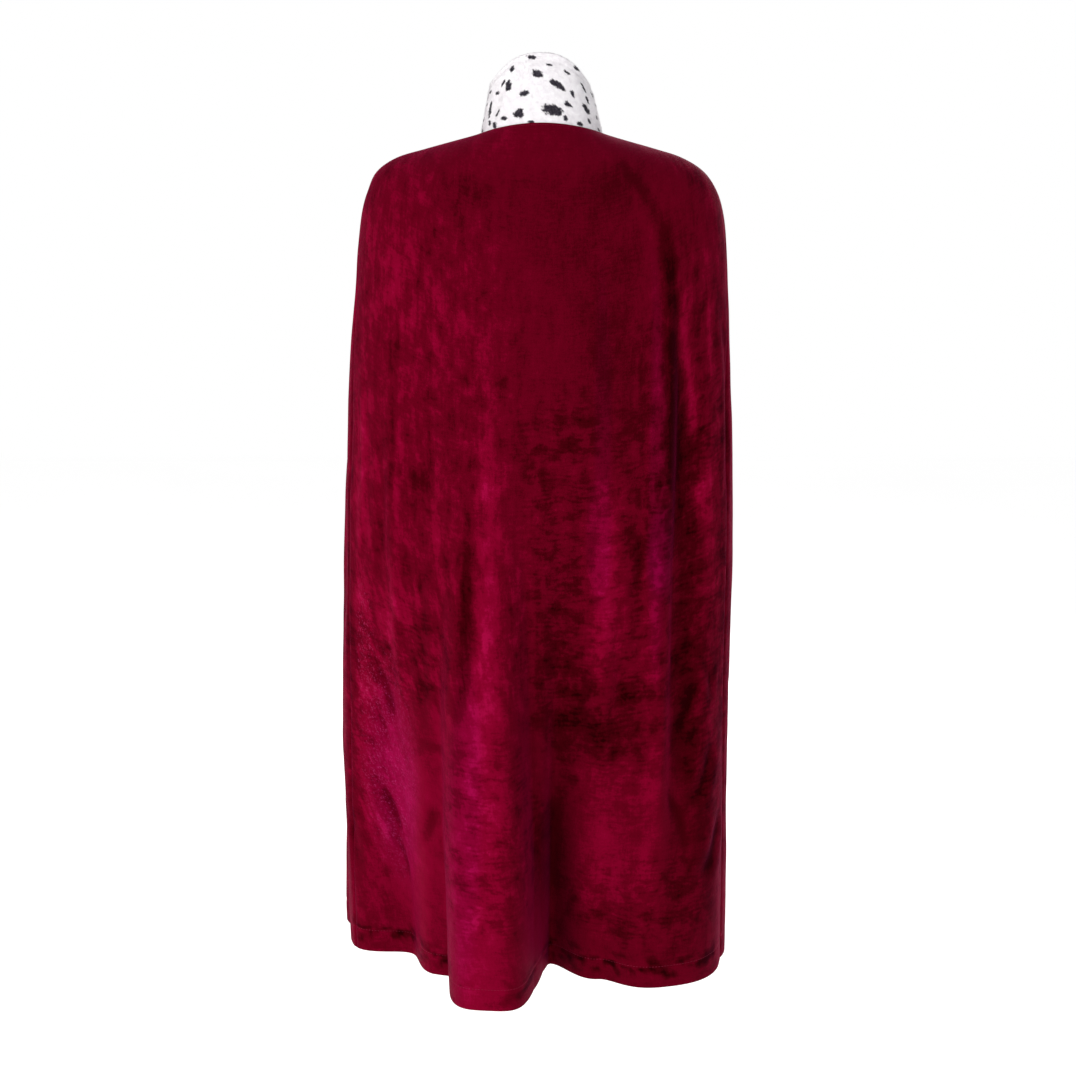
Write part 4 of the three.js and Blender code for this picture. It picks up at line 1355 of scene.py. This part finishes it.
def makePlush(name, lock):
    # lock is true for the single locks of pile, which carry their own shade and tip; a lock takes painted
    # shade towards its root
    material, tree, shader = newMaterial(name)
    place = objectPlace(tree)
    tuft = mottled(tree, place, *plushLook["tuft"])
    share = remap(tree, tuft, *plushLook["tuftRange"])
    rubbed = remap(tree, mottled(tree, place, *plushLook["rub"]), *plushLook["rubRange"])
    if lock:
        # painted shade deep in the pile: a lock is darker towards its root
        root = worked(tree, "SUBTRACT", 1.0, attributeOf(tree, "tip"))
        ofTuft, ofPaintedRootShade = plushLook["lockToneAndPaintedShade"]
        share = plus(tree, times(tree, share, ofTuft), times(tree, root, ofPaintedRootShade))
        rubbed = times(tree, attributeOf(tree, "shade"), rubbed)
    else:
        fill(tree, shader, {"Normal": relief(tree, tuft, *plushLook["relief"])})
    white = blend(tree, share, plushLook["white"], plushLook["dimWhiteAndPaintedShade"])
    black = blend(tree, rubbed, plushLook["spot"], plushLook["spotWorn"])
    fill(tree, shader, {
        "Base Color": blend(tree, attributeOf(tree, "spot"), white, black),
        "Roughness": 0.95,
        "Sheen Weight": 0.15,
        "Sheen Roughness": 0.5,
        "Specular IOR Level": 0.12,
    })
    return material


threadLook = {
    # pale and deep
    "crimsonThread": ((0.34, 0.012, 0.055, 1), (0.12, 0.003, 0.018, 1)),
    "whiteThread": ((0.80, 0.77, 0.74, 1), (0.50, 0.47, 0.45, 1)),
    "twist": (0.0005, 0.0005, 0.6),
    "relief": (0.5, 0.0001),
}


def makeThread(name):
    material, tree, shader = newMaterial(name)
    twist = mottled(tree, objectPlace(tree), *threadLook["twist"])
    pale, deep = threadLook[name]
    fill(tree, shader, {
        "Base Color": blend(tree, remap(tree, twist, -1.0, 1.0), deep, pale),
        "Normal": relief(tree, twist, *threadLook["relief"]),
        "Roughness": 0.6,
        "Specular IOR Level": 0.3,
    })
    return material


wireLook = {
    "bright": (0.70, 0.685, 0.655, 1),
    "dull": (0.47, 0.45, 0.42, 1),
    "roughness": (0.22, 0.46),
    "rub": (0.0012, 0.0012, 0.7),
    "rubRange": (-0.6, 1.0),
    "relief": (0.25, 0.00006),
}


def makeWire():
    material, tree, shader = newMaterial("nickelWire")
    rub = mottled(tree, objectPlace(tree), *wireLook["rub"])
    share = remap(tree, rub, *wireLook["rubRange"])
    fill(tree, shader, {
        "Base Color": blend(tree, share, wireLook["bright"], wireLook["dull"]),
        "Roughness": remap(tree, share, 0.0, 1.0, *wireLook["roughness"]),
        "Normal": relief(tree, rub, *wireLook["relief"]),
        "Metallic": 1.0,
    })
    return material


def dressPieces():
    velvet, wrongSide = makeVelvet(), makeWrongSide()
    crimsonThread, whiteThread = makeThread("crimsonThread"), makeThread("whiteThread")
    finishes = [(made["piece"], material) for made in panels for material in (velvet, wrongSide)]
    finishes += [(plushCollar, makePlush("spottedPlush", False)), (collarPile, makePlush("plushPile", True))]
    finishes += [(piece, crimsonThread) for piece in (neckStitches, hemStitches)]
    finishes += [(piece, whiteThread) for piece in (hookStitches, eyeStitches)]
    nickel = makeWire()
    for node in ("neck_hook", "neck_eye"):
        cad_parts[node].data.materials.clear()
        finishes.append((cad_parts[node], nickel))
    for piece, material in finishes:
        piece.data.materials.append(material)


dressPieces()
print("materials made")


def declarePieces():
    for made, node in zip(panels, ("back", "front_left", "front_right")):
        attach(made["piece"], "root")
        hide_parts(node)
    for piece, slot in ((plushCollar, "plush"), (collarPile, "plush"), (neckStitches, "velvet"),
                        (hemStitches, "velvet"), (hookStitches, "plush"), (eyeStitches, "plush")):
        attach(piece, "root")
    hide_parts("collar")


declarePieces()

studio = {
    "floorDrop": -1.43,  # the floor, from the nape
    "floorWide": 14.0,
    "floorTones": ((0.93, 0.93, 0.93, 1), (0.95, 0.95, 0.95, 1)),
    "floorCloud": 0.8,
    "sky": (1.0, 1.0, 1.0, 1),
    "skyLight": 0.60,
    "floorGlow": 0.42,
    # name, place, size, power, colour
    "lamps": [
        ("keyLamp", (1.9, 2.5, 0.5), 1.3, 62, (1.0, 0.98, 0.97)),
        ("fillLamp", (-2.3, 1.9, 0.3), 1.8, 12, (0.97, 0.98, 1.0)),
        ("frontLamp", (-1.2, -2.6, 0.7), 1.6, 42, (1.0, 0.99, 0.98)),
    ],
    "aim": (0, 0, -0.55),
}


def makeStudio():
    bpy.ops.mesh.primitive_plane_add(size=studio["floorWide"], location=(0, 0, studio["floorDrop"]))
    floor = bpy.context.object
    floor.name = "paleFloor"
    material, tree, shader = newMaterial("paleFloor")
    wide = studio["floorCloud"]
    share = remap(tree, mottled(tree, objectPlace(tree), wide, wide, shift=1.0), -1.0, 1.0)
    fill(tree, shader, {
        "Base Color": blend(tree, share, *studio["floorTones"]),
        "Roughness": 0.9,
        "Specular IOR Level": 0.1,
        "Emission Color": (1, 1, 1, 1),
        "Emission Strength": studio["floorGlow"],
    })
    floor.data.materials.append(material)
    for name, place, size, power, color in studio["lamps"]:
        bpy.ops.object.light_add(type="AREA", location=place)
        lamp = bpy.context.object
        lamp.name = name
        lamp.data.size = size
        lamp.data.energy = power
        lamp.data.color = color
        lamp.rotation_euler = (Vector(studio["aim"]) - Vector(place)).to_track_quat("-Z", "Y").to_euler()
    world = bpy.context.scene.world or bpy.data.worlds.new("studioWorld")
    bpy.context.scene.world = world
    world.use_nodes = True
    # the background is white to the camera and dimmer as a light
    seen = addNode(world.node_tree, "LightPath", output="Is Camera Ray")
    strength = remap(world.node_tree, seen, 0.0, 1.0, studio["skyLight"], 1.0)
    fill(world.node_tree, world.node_tree.nodes["Background"], {"Color": studio["sky"], "Strength": strength})
    bpy.context.scene.view_settings.view_transform = "Standard"


makeStudio()
print("studio set")
